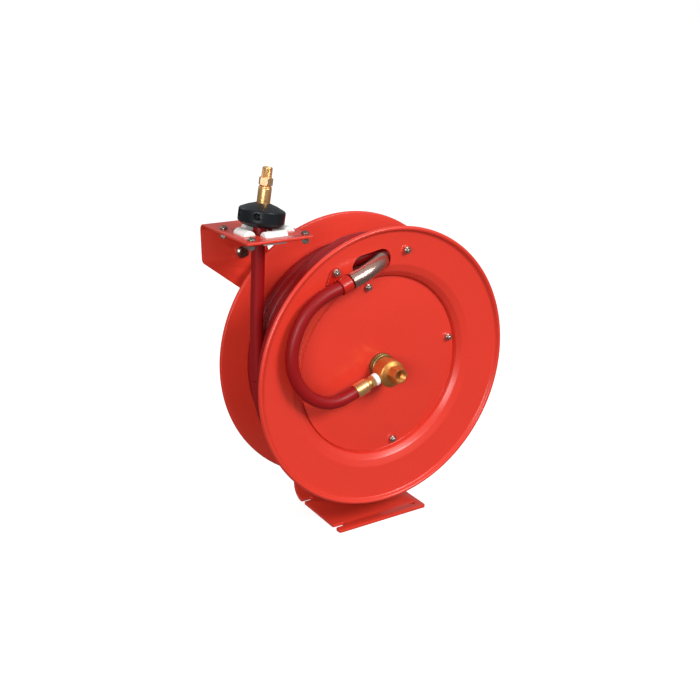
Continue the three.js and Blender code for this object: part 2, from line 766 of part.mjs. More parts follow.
add(spool, 'gooseneck_hose', tube(GOOSENECK_ROUTE, 26, HOSE_RADIUS), RED_HOSE);
add(spool, 'hose_sleeve', tube(SLEEVE_ROUTE, 6, 12.25, 10.3, 12), POLISHED);
add(spool, 'hose_coil', hoseCoil(), RED_HOSE);
add(model, 'hose_tail', hoseTail(), RED_HOSE);

// A P-clip: a band round the hose with an ear under the ring bolt.
function hoseClamp() {
  const centre = new THREE.Vector3(-81.5, -71.5, 143.3);
  const way = new THREE.Vector3(19, -0.1, 6.9).normalize();
  const band = washer(HOSE_RADIUS + 0.5, HOSE_RADIUS + CLIP_SHEET, -8, 8, 16);
  band.applyQuaternion(new THREE.Quaternion().setFromUnitVectors(new THREE.Vector3(0, 1, 0), way));
  band.translate(centre.x, centre.y, centre.z);
  const bolt = onCircle(...RING_BOLTS[1]);
  const earOutline = new THREE.Shape();
  earOutline.absarc(0, 0, 8, 0, Math.PI, false);
  earOutline.lineTo(-8, -20);
  earOutline.lineTo(8, -20);
  const ear = slab(earOutline, -clipFront, CLIP_SHEET - clipFront);
  ear.rotateY(radians(-20)).translate(bolt.x, 0, bolt.z);
  return cut(join(band, ear), ...boltHoles([RING_BOLTS[1]], -65, -50));
}
add(spool, 'hose_clamp', hoseClamp(), RED_PAINT);

// ---- Spring motor in the rear dish ----
function canister() {
  const front = DISC_OFFSET + GAP;
  return turned([
    [14, front],
    [CANISTER_RADIUS, front],
    [CANISTER_RADIUS, CANISTER_BACK],
    [CANISTER_RADIUS - CANISTER_SHEET, CANISTER_BACK],
    [CANISTER_RADIUS - CANISTER_SHEET, front + CANISTER_SHEET],
    [14, front + CANISTER_SHEET],
  ]);
}

// A flat steel strip wound from the arbor out to the canister's wall.
function mainspring() {
  const inner = ARBOR_RADIUS + 2;
  const outer = CANISTER_RADIUS - CANISTER_SHEET - 2;
  const steps = SPRING_TURNS * 14;
  const edge = (offset) => Array.from({ length: steps + 1 }, (_, i) => {
    const angle = 2 * Math.PI * SPRING_TURNS * i / steps;
    const radius = inner + (outer - SPRING_STRIP - inner) * i / steps + offset;
    return [radius * Math.cos(angle), radius * Math.sin(angle)];
  });
  return slab(polygon([...edge(0), ...edge(SPRING_STRIP).reverse()]), 45, 63);
}

function ratchetWheel() {
  const root = RATCHET_RADIUS - 6;
  const points = [];
  for (let i = 0; i < RATCHET_TEETH; i += 1) {
    const angle = 2 * Math.PI * i / RATCHET_TEETH;
    const next = 2 * Math.PI * (i + 0.86) / RATCHET_TEETH;
    points.push([root * Math.cos(angle), root * Math.sin(angle)]);
    points.push([RATCHET_RADIUS * Math.cos(next), RATCHET_RADIUS * Math.sin(next)]);
  }
  const wheel = slab(polygon(points), RATCHET_FRONT, RATCHET_FRONT + RATCHET_THICKNESS);
  return cut(wheel, bar(14, RATCHET_FRONT - 1, RATCHET_FRONT + RATCHET_THICKNESS + 1, AXLE_ROUND));
}

// The pawl is drawn about its pivot, with its nose just clear of the ratchet's tips.
function latchPawl() {
  const [px, pz] = PAWL_PIVOT;
  const reach = Math.hypot(px, pz) - RATCHET_RADIUS - 1.2;
  const outline = polygon([
    [-9, -3], [-5, -9], [3, -10], [9, -5], [26, 3], [26, 9], [8, 9], [-4, reach], [-9, reach - 1],
  ]);
  const y1 = RATCHET_FRONT + RATCHET_THICKNESS;
  const body = cut(slab(outline, RATCHET_FRONT, y1), bar(5, RATCHET_FRONT - 1, y1 + 1, 16));
  return body.rotateY(-(Math.atan2(-pz, -px) - Math.PI / 2)).translate(px, 0, pz);
}

function pawlPivot() {
  const [px, pz] = PAWL_PIVOT;
  const end = RATCHET_FRONT + RATCHET_THICKNESS;
  return join(
    bar(M8_RADIUS, RATCHET_FRONT - 1, POST_BACK + 9, BOLT_ROUND),
    bar(7.5, RATCHET_FRONT - 1.8 - GAP, RATCHET_FRONT - GAP, 12),
    bar(7, end + GAP, POST_BACK - PLATE - GAP, 12),
    bar(7.5, POST_BACK + GAP, POST_BACK + GAP + 6, 6),
  ).translate(px, 0, pz);
}

add(spool, 'spring_canister', canister(), RED_PAINT);
add(spool, 'canister_cover',
  washer(14, CANISTER_RADIUS, CANISTER_BACK + GAP, CANISTER_BACK + GAP + CANISTER_SHEET), RED_PAINT);
add(spool, 'mainspring', mainspring(), SPRING_STEEL);
add(fixedOnAxis, 'spring_arbor',
  washer(SHAFT_RADIUS + GAP, ARBOR_RADIUS, 44.5, 64, AXLE_ROUND), STEEL);
add(spool, 'ratchet_wheel', ratchetWheel(), ZINC);
add(fixedOnAxis, 'latch_pawl', latchPawl(), ZINC);
add(fixedOnAxis, 'pawl_pivot', pawlPivot(), ZINC);

// ---- Hose end: stop ball in two halves, ferrule and male fitting ----
// Turns a part drawn about Y into one about Z.
function standing(geometry) {
  return geometry.rotateX(Math.PI / 2);
}

function stopHalf(side) {
  const ball = standing(turned(STOP_SECTION, 24));
  const inner = GAP / 2;
  const half = box(side > 0 ? inner : -50, side > 0 ? 50 : -inner, -50, 50, -10, 50);
  const tools = [upright(STOP_BORE, 0, 0, -1, 40, AXLE_ROUND)];
  for (const y of [-STOP_SCREW_Y, STOP_SCREW_Y]) {
    tools.push(across(2.8, -60, 22, y, STOP_SCREW_Z));
    tools.push(across(5.4, -60, -14, y, STOP_SCREW_Z, 6));
  }
  return cut(overlap(ball, half), ...tools);
}

function across(radius, x0, x1, y, z, sides = BOLT_ROUND) {
  const geometry = new THREE.CylinderGeometry(radius, radius, x1 - x0, sides);
  return geometry.rotateZ(Math.PI / 2).translate((x0 + x1) / 2, y, z);
}

function stopScrew(y) {
  return join(across(2.5, -15, 20, y, STOP_SCREW_Z), across(4.4, -19, -14 - GAP, y, STOP_SCREW_Z));
}

function endFerrule() {
  return standing(turned([
    [6.3, FERRULE_START],
    [9.3, FERRULE_START],
    [9.3, 53],
    [8.4, 54],
    [6.3, 54],
  ], AXLE_ROUND));
}

function endFitting() {
  const body = standing(turned([
    [0, FERRULE_START],
    [6, FERRULE_START],
    [6, 54.3],
    [8, 55],
    [8, 65.5],
    [6.9, 66.5],
    [7.2, 80],
    [4.6, 80],
    [4.6, 55],
    [0, 55],
  ], SMALL_ROUND));
  return join(body, cut(upright(10.1, 0, 0, 55.5, 65.5, 6), upright(7, 0, 0, 50, 70)));
}

const stop = [
  add(hoseEnd, 'stop_ball_left', stopHalf(-1), BLACK_RUBBER),
  add(hoseEnd, 'stop_ball_right', stopHalf(1), BLACK_RUBBER),
  add(hoseEnd, 'stop_screw_front', stopScrew(-STOP_SCREW_Y), STEEL),
  add(hoseEnd, 'stop_screw_back', stopScrew(STOP_SCREW_Y), STEEL),
];
stop.forEach((piece) => {
  piece.rotation.z = radians(STOP_TURN);
});
add(hoseEnd, 'hose_end_ferrule', endFerrule(), BRASS);
add(hoseEnd, 'hose_end_fitting', endFitting(), BRASS);

export default model;
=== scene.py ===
"""Looks of a spring-rewind hose reel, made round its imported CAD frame.

Lengths are in millimetres in the reel's own frame, and become metres when a piece is built.
The spool turns about Y at AXIS above the foot's underside, and its front faces -Y.
"""
import math

import bmesh
import bpy
from mathutils import Matrix, Vector
from mathutils.geometry import tessellate_polygon


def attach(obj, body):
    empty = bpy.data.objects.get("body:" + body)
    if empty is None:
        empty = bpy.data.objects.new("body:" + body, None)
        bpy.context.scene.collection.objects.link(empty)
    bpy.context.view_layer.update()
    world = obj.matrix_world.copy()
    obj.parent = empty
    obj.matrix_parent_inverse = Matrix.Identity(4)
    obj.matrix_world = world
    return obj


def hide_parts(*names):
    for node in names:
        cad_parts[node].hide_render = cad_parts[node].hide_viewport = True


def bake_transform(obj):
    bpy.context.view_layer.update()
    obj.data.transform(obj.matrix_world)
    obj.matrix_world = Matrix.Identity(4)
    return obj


MM = 0.001

# ---- Driving dimensions, as in the CAD part. Angles are in degrees ----
GAP = 0.3
AXIS = 253
FLANGE_RADIUS = 216
RING_OFFSET = 58
SHEET = 1.6
DISC_RADIUS = 137.2
DISC_OFFSET = 41.4
DISC_SHEET = 1.7
LAND_RADIUS = 118
LAND_OFFSET = DISC_OFFSET - DISC_SHEET - GAP
DRUM_RADIUS = 140
DRUM_WALL = 1.7
DISC_BOLT_CIRCLE = 127.5
DISC_BOLT_ANGLES = [101 - turn for turn in (0, 90, 180, 270)]
RING_BOLTS = [(180, 80.3), (183.8, 119.4)]
RING_BOLT_SEAT = 1.1
CLIP_SHEET = 2
CLIP_HALF_WIDTH = 8.2
CLIP_CENTRE = (-81.5, -71.5, 143.3)     # from the spool's middle
SLOT_CENTRE = (-28, 164.3)              # the slot that the hose goes in by, in x and z from the axis
SLOT_HALF = 16.2
SLOT_RADIUS = 16.7
SLOT_TILT = 10
M6_NUT_RADIUS = 5.8

HOSE = 19
HOSE_RADIUS = HOSE / 2
SHAFT_RADIUS = 10
STEM_RADIUS = 7
COLLAR_FRONT = 52
SWIVEL_BACK = 53
SWIVEL_MIDDLE = 67
SWIVEL_FRONT = 79
SWIVEL_BORE = 9.6
SWIVEL_SHIFT = Vector((-0.5, 0, -3.3))
INLET_END = 96
OUTLET_ANGLE = 200
FERRULE_START = 43
FERRULE_END = 64

POST_BACK = 85
PLATE = 5
FOOT_HALF = 81
FOOT_FRONT = -60
FOOT_BEND = 24
POST_TOP = 335
POST_CORNER = 35
FOOT_HOLE_ROWS = [-44, 55]
FOOT_HOLE_X = 65.5
FOOT_SLOT_X = -67
FOOT_HOLE_RADIUS = 4.25
M8_HOLE = 4.3

GUIDE = Vector((-173, -8, AXIS + 217.5))
BRACKET_SHEET = 3
BRACKET_BEND = 10
BRACKET_LEFT = -227
BRACKET_RIGHT = -127.5
BRACKET_FRONT = -66
LEG_RIGHT = -118                # right edge of the bracket's rear leg
ROLLER_OFFSET = 30
ROLLER_RADIUS = 9.35
ROLLER_LENGTH = 34.5
ROLLER_WINDOW = 18.3
PIN_RADIUS = 2
PIN_LENGTH = 50
PIN_DROP = BRACKET_SHEET + GAP / 2
RETAINER_SHEET = 3
RETAINER_HALF_X = 45
RETAINER_HALF_Y = 48
RETAINER_TOP = -BRACKET_SHEET - GAP
GUIDE_BOLT_RADIUS = 3
GUIDE_BOLTS = [(x, y) for x in (-40.5, 40.5) for y in (-42.5, 42.5)]
ARM_THICKNESS = 5
ARM_HALF_WIDTH = 21
ARM_BOLTS = [(-163, AXIS + 168.7), (-136, AXIS + 140)]
POST_BOLTS = [(-66, AXIS + 60), (-46, AXIS + 37)]

CANISTER_RADIUS = 100
CANISTER_BACK = 66
CANISTER_SHEET = 1.5
RATCHET_FRONT = 70.5
RATCHET_THICKNESS = 5
RATCHET_RADIUS = 46
RATCHET_TEETH = 12
PAWL_PIVOT = (52, -48)

STOP = Vector((-177, -5, GUIDE.z + 7.6))
STOP_TILT = 9.5
STOP_TURN = 20.6
STOP_BORE = 9.9
STOP_SCREW_Y = 16.5
STOP_SCREW_Z = 15
STOP_FERRULE = 29

X, Y, Z = Vector((1, 0, 0)), Vector((0, 1, 0)), Vector((0, 0, 1))
CENTRE = Vector((0, 0, AXIS))

CAMERA_AT = Vector((-781.0, -1192.9, AXIS + 509.1))
AZIMUTH, ELEVATION, ROLL = -32.28, 19.23, 0.45
LENS = 50.7

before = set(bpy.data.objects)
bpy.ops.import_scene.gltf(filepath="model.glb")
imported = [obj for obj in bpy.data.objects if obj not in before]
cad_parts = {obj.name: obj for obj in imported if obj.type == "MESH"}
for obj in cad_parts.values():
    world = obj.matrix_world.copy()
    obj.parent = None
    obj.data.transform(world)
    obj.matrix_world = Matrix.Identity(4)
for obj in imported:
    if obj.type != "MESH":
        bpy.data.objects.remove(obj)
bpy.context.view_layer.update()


def linked(name, data):
    """A new object of some data, in the scene."""
    made = bpy.data.objects.new(name, data)
    bpy.context.scene.collection.objects.link(made)
    return made


def camera():
    azimuth, elevation = math.radians(AZIMUTH), math.radians(ELEVATION)
    level = math.cos(elevation)
    back = Vector((math.sin(azimuth) * level, -math.cos(azimuth) * level, math.sin(elevation)))
    data = bpy.data.cameras.new("camera")
    data.lens, data.sensor_width = LENS, 36
    data.clip_start, data.clip_end = 0.05, 50
    seen = linked("camera", data)
    seen.rotation_mode = "QUATERNION"
    turn = (-back).to_track_quat("-Z", "Y").to_matrix() @ Matrix.Rotation(math.radians(ROLL), 3, "Z")
    seen.rotation_quaternion = turn.to_quaternion()
    seen.location = CAMERA_AT * MM
    bpy.context.scene.camera = seen


camera()


# ---- Shapes, each as (points, faces) in millimetres ----
def mesh_of(name, part, scale=1.0):
    points, faces = part
    mesh = bpy.data.meshes.new(name)
    mesh.from_pydata([Vector(p) * scale for p in points], [], faces)
    return mesh


def shape_of(mesh):
    return [v.co.copy() for v in mesh.vertices], [tuple(p.vertices) for p in mesh.polygons]


def evaluated(item):
    """The shape of an object with its modifiers applied."""
    graph = bpy.context.evaluated_depsgraph_get()
    return shape_of(bpy.data.meshes.new_from_object(item.evaluated_get(graph)))


def opened(part, scale=1.0):
    bm = bmesh.new()
    bm.from_mesh(mesh_of("part", part, scale))
    return bm


def closed_up(bm, name="part"):
    mesh = bpy.data.meshes.new(name)
    bm.to_mesh(mesh)
    bm.free()
    return mesh


def wall(low, high, count):
    """Quads between two rings of count points, given the index of each ring's first point."""
    return [(low + i, low + (i + 1) % count, high + (i + 1) % count, high + i) for i in range(count)]


def fillet(outline, radius=0, steps=4):
    """Rounds an outline's corners. A corner may carry its own radius as a third number."""
    made = []
    count = len(outline)
    for i, corner in enumerate(outline):
        here = Vector(corner[:2])
        reach = corner[2] if len(corner) > 2 else radius
        if reach <= 0:
            made.append(here)
            continue
        before = Vector(outline[i - 1][:2]) - here
        after = Vector(outline[(i + 1) % count][:2]) - here
        angle = before.angle(after)
        if angle > math.radians(178):
            made.append(here)
            continue
        back = min(reach / math.tan(angle / 2), 0.45 * before.length, 0.45 * after.length)
        start, end = here + before.normalized() * back, here + after.normalized() * back
        for k in range(steps + 1):
            u = k / steps
            made.append(start * (1 - u) ** 2 + here * 2 * u * (1 - u) + end * u * u)
    return made


def turned(outline, segments=96, arc=None):
    """A shell turned about Z from its [radius, height] outline, all round or over an arc."""
    outline = [(p[0], p[1]) for p in outline]
    loops = outline[0][0] > 0 or outline[-1][0] > 0
    first, last = arc or (0, 2 * math.pi)
    columns = segments if arc is None else segments + 1
    points, rings = [], []
    for radius, height in outline:
        ring = []
        for i in range(1 if radius <= 0 else columns):
            angle = first + (last - first) * i / segments
            ring.append(len(points))
            points.append((radius * math.cos(angle), radius * math.sin(angle), height))
        rings.append(ring)
    faces = []
    for a, b in zip(rings, rings[1:] + (rings[:1] if loops else [])):
        for i in range(segments):
            j = (i + 1) % columns
            if len(a) == 1 and len(b) > 1:
                faces.append((a[0], b[i], b[j]))
            elif len(b) == 1 and len(a) > 1:
                faces.append((a[i], b[0], a[j]))
            elif len(a) > 1:
                faces.append((a[i], b[i], b[j], a[j]))
    if arc:
        faces.append([ring[0] for ring in rings])
        faces.append([ring[-1] for ring in reversed(rings)])
    return points, faces


def lathe(outline, segments, radius=0, steps=4):
    """A shell turned about Z from an outline whose corners are rounded first."""
    return turned(fillet(outline, radius, steps), segments)


def threaded(radius, depth, pitch, low, high, inner=False, segments=48, taper=0.0):
    """A screw thread as a closed plug. depth is cut into the radius, or added to it when inner."""
    per_turn = 8
    rows = int((high - low) / pitch * per_turn)
    points = []
    for k in range(rows + 1):
        height = low + (high - low) * k / rows
        ends = min(1.0, k / per_turn, (rows - k) / per_turn)
        for i in range(segments):
            turn = i / segments
            wave = abs(((height / pitch - turn) % 1) * 2 - 1)
            change = depth * wave * ends
            here = radius - taper * (height - low) + (change if inner else -change)
            angle = 2 * math.pi * turn
            points.append((here * math.cos(angle), here * math.sin(angle), height))
    faces = [face for k in range(rows) for face in wall(k * segments, (k + 1) * segments, segments)]
    faces.append(list(range(segments))[::-1])
    faces.append([rows * segments + i for i in range(segments)])
    return points, faces


def offset(loop, distance):
    """Moves a closed loop of points to its left by a distance."""
    made = []
    for i, here in enumerate(loop):
        before = (here - loop[i - 1]).normalized()
        after = (loop[(i + 1) % len(loop)] - here).normalized()
        left = Vector((-before.y, before.x)) + Vector((-after.y, after.x))
        made.append(here + left * distance / max(0.3, 1 + before.dot(after)))
    return made


def area(loop):
    return sum(a.x * b.y - b.x * a.y for a, b in zip(loop, loop[1:] + loop[:1])) / 2


def sheet(outline, holes, thickness, edge=0.4):
    """A flat sheet in X and Y with holes and softened edges, from z = 0 to its thickness."""
    loops = [outline if area(outline) > 0 else outline[::-1]]
    loops += [hole if area(hole) < 0 else hole[::-1] for hole in holes]
    soft = 0.3 * edge
    levels = [(edge, 0), (soft, soft), (0, edge), (0, thickness - edge),
              (soft, thickness - soft), (edge, thickness)]
    points, faces, starts = [], [], []
    for inset, height in levels:
        starts.append(len(points))
        for loop in loops:
            points += [(p.x, p.y, height) for p in offset(loop, inset)]
    for low, high in zip(starts, starts[1:]):
        at = 0
        for loop in loops:
            faces += wall(low + at, high + at, len(loop))
            at += len(loop)
    caps = tessellate_polygon([[Vector((p.x, p.y, 0)) for p in offset(loop, edge)] for loop in loops])
    faces += [tuple(starts[0] + i for i in cap) for cap in caps]
    faces += [tuple(starts[-1] + i for i in reversed(cap)) for cap in caps]
    return points, faces


def disc_outline(radius, x=0.0, y=0.0, segments=32):
    return [Vector((x + radius * math.cos(2 * math.pi * i / segments),
                    y + radius * math.sin(2 * math.pi * i / segments))) for i in range(segments)]


def prism(outline, low, high):
    """A plain prism of an outline in X and Y."""
    count = len(outline)
    points = [(p[0], p[1], low) for p in outline] + [(p[0], p[1], high) for p in outline]
    return points, [tuple(reversed(range(count))), tuple(range(count, 2 * count)), *wall(0, count, count)]


def rod(radius, low, high, segments=24):
    return prism(disc_outline(radius, segments=segments), low, high)


def between(a, b, start, end, time):
    return (a * (end - time) + b * (time - start)) / (end - start)


def catmull(route, step=3.0):
    """Points along the centripetal Catmull-Rom curve through a route, about a step apart."""
    route = [Vector(p) for p in route]
    stops = [2 * route[0] - route[1], *route, 2 * route[-1] - route[-2]]
    made = [route[0]]
    for a, b, c, d in zip(stops, stops[1:], stops[2:], stops[3:]):
        t0, t1 = 0.0, math.sqrt((b - a).length)
        t2 = t1 + math.sqrt((c - b).length)
        t3 = t2 + math.sqrt((d - c).length)
        count = max(1, round((c - b).length / step))
        for k in range(1, count + 1):
            time = t1 + (t2 - t1) * k / count
            ab = between(a, b, t0, t1, time)
            bc = between(b, c, t1, t2, time)
            cd = between(c, d, t2, t3, time)
            first = between(ab, bc, t0, t2, time)
            second = between(bc, cd, t1, t3, time)
            made.append(between(first, second, t1, t2, time))
    return made


def swept(route, section):
    """A section of (across, up) points swept along a route, with flat ends."""
    tangents = [(b - a).normalized() for a, b in zip(route[:1] + route[:-1], route[1:] + route[-1:])]
    tangents[0] = (route[1] - route[0]).normalized()
    side = tangents[0].cross(Z if abs(tangents[0].z) < 0.9 else X).normalized()
    points = []
    for i, here in enumerate(route):
        if i:
            side = tangents[i - 1].rotation_difference(tangents[i]) @ side
        up = side.cross(tangents[i]).normalized()
        points += [tuple(here + side * p[0] + up * p[1]) for p in section]
    count = len(section)
    faces = [face for i in range(len(route) - 1) for face in wall(i * count, (i + 1) * count, count)]
    faces.append(tuple(reversed(range(count))))
    faces.append(tuple(range(len(points) - count, len(points))))
    return points, faces


def moved(part, at=(0, 0, 0), axis=Z, spin=0.0):
    """A part drawn about Z, spun about it in degrees, its Z turned to axis and its origin put at a place."""
    turn = Z.rotation_difference(Vector(axis)) if Vector(axis).normalized().dot(Z) > -0.9999 \
        else Matrix.Rotation(math.pi, 3, "X").to_quaternion()
    whole = Matrix.Translation(Vector(at)) @ turn.to_matrix().to_4x4() \
        @ Matrix.Rotation(math.radians(spin), 4, "Z")
    points, faces = part
    return [whole @ Vector(p) for p in points], faces


def boolean(part, tools, operation="DIFFERENCE"):
    """A part cut by, joined to or kept inside each tool in turn."""
    base = linked("base", mesh_of("base", outward(part)))
    others = [linked("tool", mesh_of("tool", outward(tool))) for tool in tools]
    for other in others:
        step = base.modifiers.new("step", "BOOLEAN")
        step.solver, step.operation, step.object = "EXACT", operation, other
    result = evaluated(base)
    for item in (base, *others):
        bpy.data.objects.remove(item)
    return result


def outward(part):
    """The same part with its faces pointing out."""
    bm = opened(part)
    bmesh.ops.recalc_face_normals(bm, faces=bm.faces)
    return shape_of(closed_up(bm))


def build(name, parts, material, body, *replaced, sharp=35.0, uv_count=0):
    """Makes one piece of some parts, and puts it on its body in place of some CAD nodes."""
    whole = bmesh.new()
    for part in parts:
        bm = opened(part, MM)
        bmesh.ops.remove_doubles(bm, verts=bm.verts, dist=2e-6)
        bmesh.ops.recalc_face_normals(bm, faces=bm.faces)
        whole.from_mesh(closed_up(bm))
    mesh = closed_up(whole, name)
    mesh.shade_smooth()
    mesh.set_sharp_from_angle(angle=math.radians(sharp))
    mesh.materials.append(material)
    piece = linked(name, mesh)
    if uv_count:
        lengthwise_uv(mesh, uv_count)
    if body:
        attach(piece, body)
    if replaced:
        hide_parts(*replaced)
    return piece


def lengthwise_uv(mesh, count):
    """UVs of a swept tube: metres along it, and one turn round it."""
    layer = mesh.uv_layers.new(name="along")
    lengths, total, last = [], 0.0, None
    for i in range(0, len(mesh.vertices), count):
        middle = sum((mesh.vertices[i + k].co for k in range(count)), Vector()) / count
        total += (middle - last).length if last else 0.0
        lengths.append(total)
        last = middle
    for face in mesh.polygons:
        rounds = [mesh.loops[i].vertex_index % count for i in face.loop_indices]
        wraps = max(rounds) - min(rounds) > count / 2
        for i, k in zip(face.loop_indices, rounds):
            row = mesh.loops[i].vertex_index // count
            across = (k + count if wraps and k < count / 2 else k) / count
            layer.data[i].uv = (lengths[row], across)


# ---- Materials ----
def srgb(red, green, blue):
    def linear(value):
        value /= 255
        return value / 12.92 if value <= 0.04045 else ((value + 0.055) / 1.055) ** 2.4
    return linear(red), linear(green), linear(blue)


def fill(node, **values):
    """Sets some inputs of a node, with _ for the spaces in their names."""
    for socket, value in values.items():
        node.inputs[socket.replace("_", " ")].default_value = value
    return node


def finish(name, colour, roughness, metallic=0.0, slot=None, tint=0.08, cloud=25, spread=0.08,
           stretch=(1, 1, 1), grain=600, bump=0.1, depth=0.1, uv=False, **sockets):
    """A surface whose colour and roughness drift in soft clouds, with a fine grain raised on it."""
    made = bpy.data.materials.new(name)
    made.use_nodes = True
    nodes, links = made.node_tree.nodes, made.node_tree.links
    shader = fill(nodes["Principled BSDF"], Metallic=metallic, **sockets)
    source = nodes.new("ShaderNodeTexCoord").outputs["UV" if uv else "Object"]

    clouds = fill(nodes.new("ShaderNodeTexNoise"), Scale=cloud, Detail=4)
    links.new(source, clouds.inputs["Vector"])
    mix = nodes.new("ShaderNodeMix")
    mix.data_type = "RGBA"
    colour = srgb(*colour)
    fill(mix, A=(*(c * (1 - tint) for c in colour), 1), B=(*(min(1, c * (1 + tint)) for c in colour), 1))
    links.new(clouds.outputs["Fac"], mix.inputs["Factor"])
    links.new(mix.outputs["Result"], shader.inputs["Base Color"])

    mapping = fill(nodes.new("ShaderNodeMapping"), Scale=stretch)
    links.new(source, mapping.inputs["Vector"])
    fine = fill(nodes.new("ShaderNodeTexNoise"), Scale=grain, Detail=3)
    links.new(mapping.outputs["Vector"], fine.inputs["Vector"])
    amount = fill(nodes.new("ShaderNodeMapRange"), From_Min=0.3, From_Max=0.7,
                  To_Min=max(0.02, roughness - spread), To_Max=min(1, roughness + spread))
    links.new(fine.outputs["Fac"], amount.inputs["Value"])
    links.new(amount.outputs["Result"], shader.inputs["Roughness"])
    raised = fill(nodes.new("ShaderNodeBump"), Strength=bump, Distance=depth * MM)
    links.new(fine.outputs["Fac"], raised.inputs["Height"])
    links.new(raised.outputs["Normal"], shader.inputs["Normal"])
    return made


RED_PAINT = finish("red_paint", (220, 57, 41), 0.31, tint=0.04, cloud=14, spread=0.05, grain=900,
                   depth=0.06, Coat_Weight=0.08, Coat_Roughness=0.2)
DIPPED = finish("dipped_vinyl", (186, 30, 18), 0.28, slot="red_paint", tint=0.05, cloud=60, spread=0.05,
                grain=150, bump=0.15, depth=0.4, Specular_IOR_Level=0.4)
RED_RUBBER = finish("red_rubber", (146, 14, 18), 0.42, slot="red_hose", tint=0.1, cloud=3, uv=True,
                    stretch=(6, 14, 1), grain=9, depth=0.2, Specular_IOR_Level=0.3)
BRASS = finish("brass", (208, 140, 74), 0.42, 0.8, tint=0.12, cloud=90, spread=0.1,
               stretch=(0.05, 1, 0.05), grain=2500, bump=0.2, depth=0.08)
END_BRASS = finish("end_brass", (240, 188, 126), 0.34, 0.9, slot="brass", tint=0.1, cloud=110, spread=0.1,
                   stretch=(0.05, 0.05, 1), grain=2500, bump=0.2, depth=0.08)
PINK_BRASS = finish("pink_brass", (244, 196, 150), 0.34, 0.9, slot="brass", tint=0.1, cloud=110,
                    spread=0.1, stretch=(1, 1, 0.05), grain=1500, bump=0.15, depth=0.06)
DARK_BRASS = finish("dark_brass", (146, 134, 84), 0.42, 0.9, slot="brass", tint=0.25, cloud=80,
                    spread=0.12, stretch=(0.05, 1, 0.05), grain=2000, bump=0.25)
ZINC = finish("zinc", (196, 186, 178), 0.26, 1.0, tint=0.1, cloud=150, spread=0.1, grain=1200, depth=0.05)
DARK_ZINC = finish("dark_zinc", (128, 122, 114), 0.3, 1.0, slot="zinc", tint=0.2, cloud=180, spread=0.1,
                   grain=1200, bump=0.15, depth=0.06)
STEEL = finish("steel", (158, 160, 162), 0.34, 1.0, slot="machined_steel", cloud=60,
               stretch=(0.05, 1, 0.05), grain=2500, bump=0.2, depth=0.06)
# Polished steel for the sleeve. Its pink base colour is a painted reflection of the red paint and hose round
# it, not the steel's own colour.
STEEL_TINTED_BY_PAINTED_REFLECTION = finish("polished_steel", (204, 168, 156), 0.25, 1.0, tint=0.1, cloud=20, uv=True,
                  stretch=(1.5, 60, 1), grain=10, bump=0.4, depth=0.2)
NYLON = finish("white_nylon", (246, 243, 238), 0.38, tint=0.02, cloud=60, grain=700, bump=0.08,
               depth=0.06, Subsurface_Weight=0.15, Subsurface_Scale=0.002)
BLACK_RUBBER = finish("black_rubber", (20, 25, 29), 0.34, tint=0.15, cloud=40, grain=900, bump=0.15,
                      depth=0.12, Specular_IOR_Level=0.3)
TAPE = finish("thread_tape", (252, 252, 250), 0.55, slot="white_tape", tint=0.02, cloud=150, spread=0.1,
              grain=500, bump=0.6, depth=0.4)
SPRING_STEEL = finish("spring_steel", (84, 90, 98), 0.32, 1.0, tint=0.15, cloud=60, grain=900, depth=0.05)


# ---- Hose: gooseneck and winding on the spool, and the tail up to the stop ----
def on_circle(radius, degrees, y=0.0):
    angle = math.radians(degrees)
    return Vector((radius * math.cos(angle), y, radius * math.sin(angle)))


def on_outlet_line(radius):
    return on_circle(radius, OUTLET_ANGLE, -SWIVEL_MIDDLE)


OUTLET = on_circle(1, OUTLET_ANGLE)
SLEEVE_ROUTE = [
    (-72, -71.6, 146.8),
    (-54, -71.2, 153),
    (-36.5, -67.3, 158.6),
    (-20, -59, 162.4),
    (-7, -49.5, 165),
]
GOOSENECK_ROUTE = [
    *[on_outlet_line(radius) for radius in (46, FERRULE_END, FERRULE_END + 10)],
    (-90, -68.5, -29.5),
    (-112, -70, -27),
    (-134, -71, -16),
    (-152, -71.5, 2),
    (-163, -71, 24),
    (-167, -71, 48),
    (-163, -71, 74),
    (-152, -71, 99),
    (-135, -71, 119),
    (-113, -71, 132.5),
    (-91, -71.4, 140),
    *SLEEVE_ROUTE,
    (0, -44, 166.6),
]
LAYERS = [151, 167.5, 184]                  # radius of each layer's middle
WINDING_FRONT, WINDING_REAR = -38, 46       # y of the outermost turns
SECOND_PITCH = 18.4                         # from turn to turn in the second layer
ENTRY = (166.6, -44)                        # radius and y where the winding starts
TURNS = 13.75
POINTS_PER_TURN = 60


def winding_stages():
    """(turn where a crossing starts, turn where it ends, radius and y that it reaches)."""
    first, second, third = LAYERS
    stages = [(0, 0.2, first, WINDING_FRONT)]
    stages += [(k + 0.03, k + 0.14, first, WINDING_FRONT + HOSE * k) for k in range(1, 5)]
    stages += [(k + 0.083, k + 0.194, second, WINDING_REAR - SECOND_PITCH * (k - 5)) for k in range(5, 11)]
    stages += [(k - 0.125, k - 0.042, third, WINDING_FRONT + HOSE * (k - 11)) for k in range(11, 14)]
    return stages


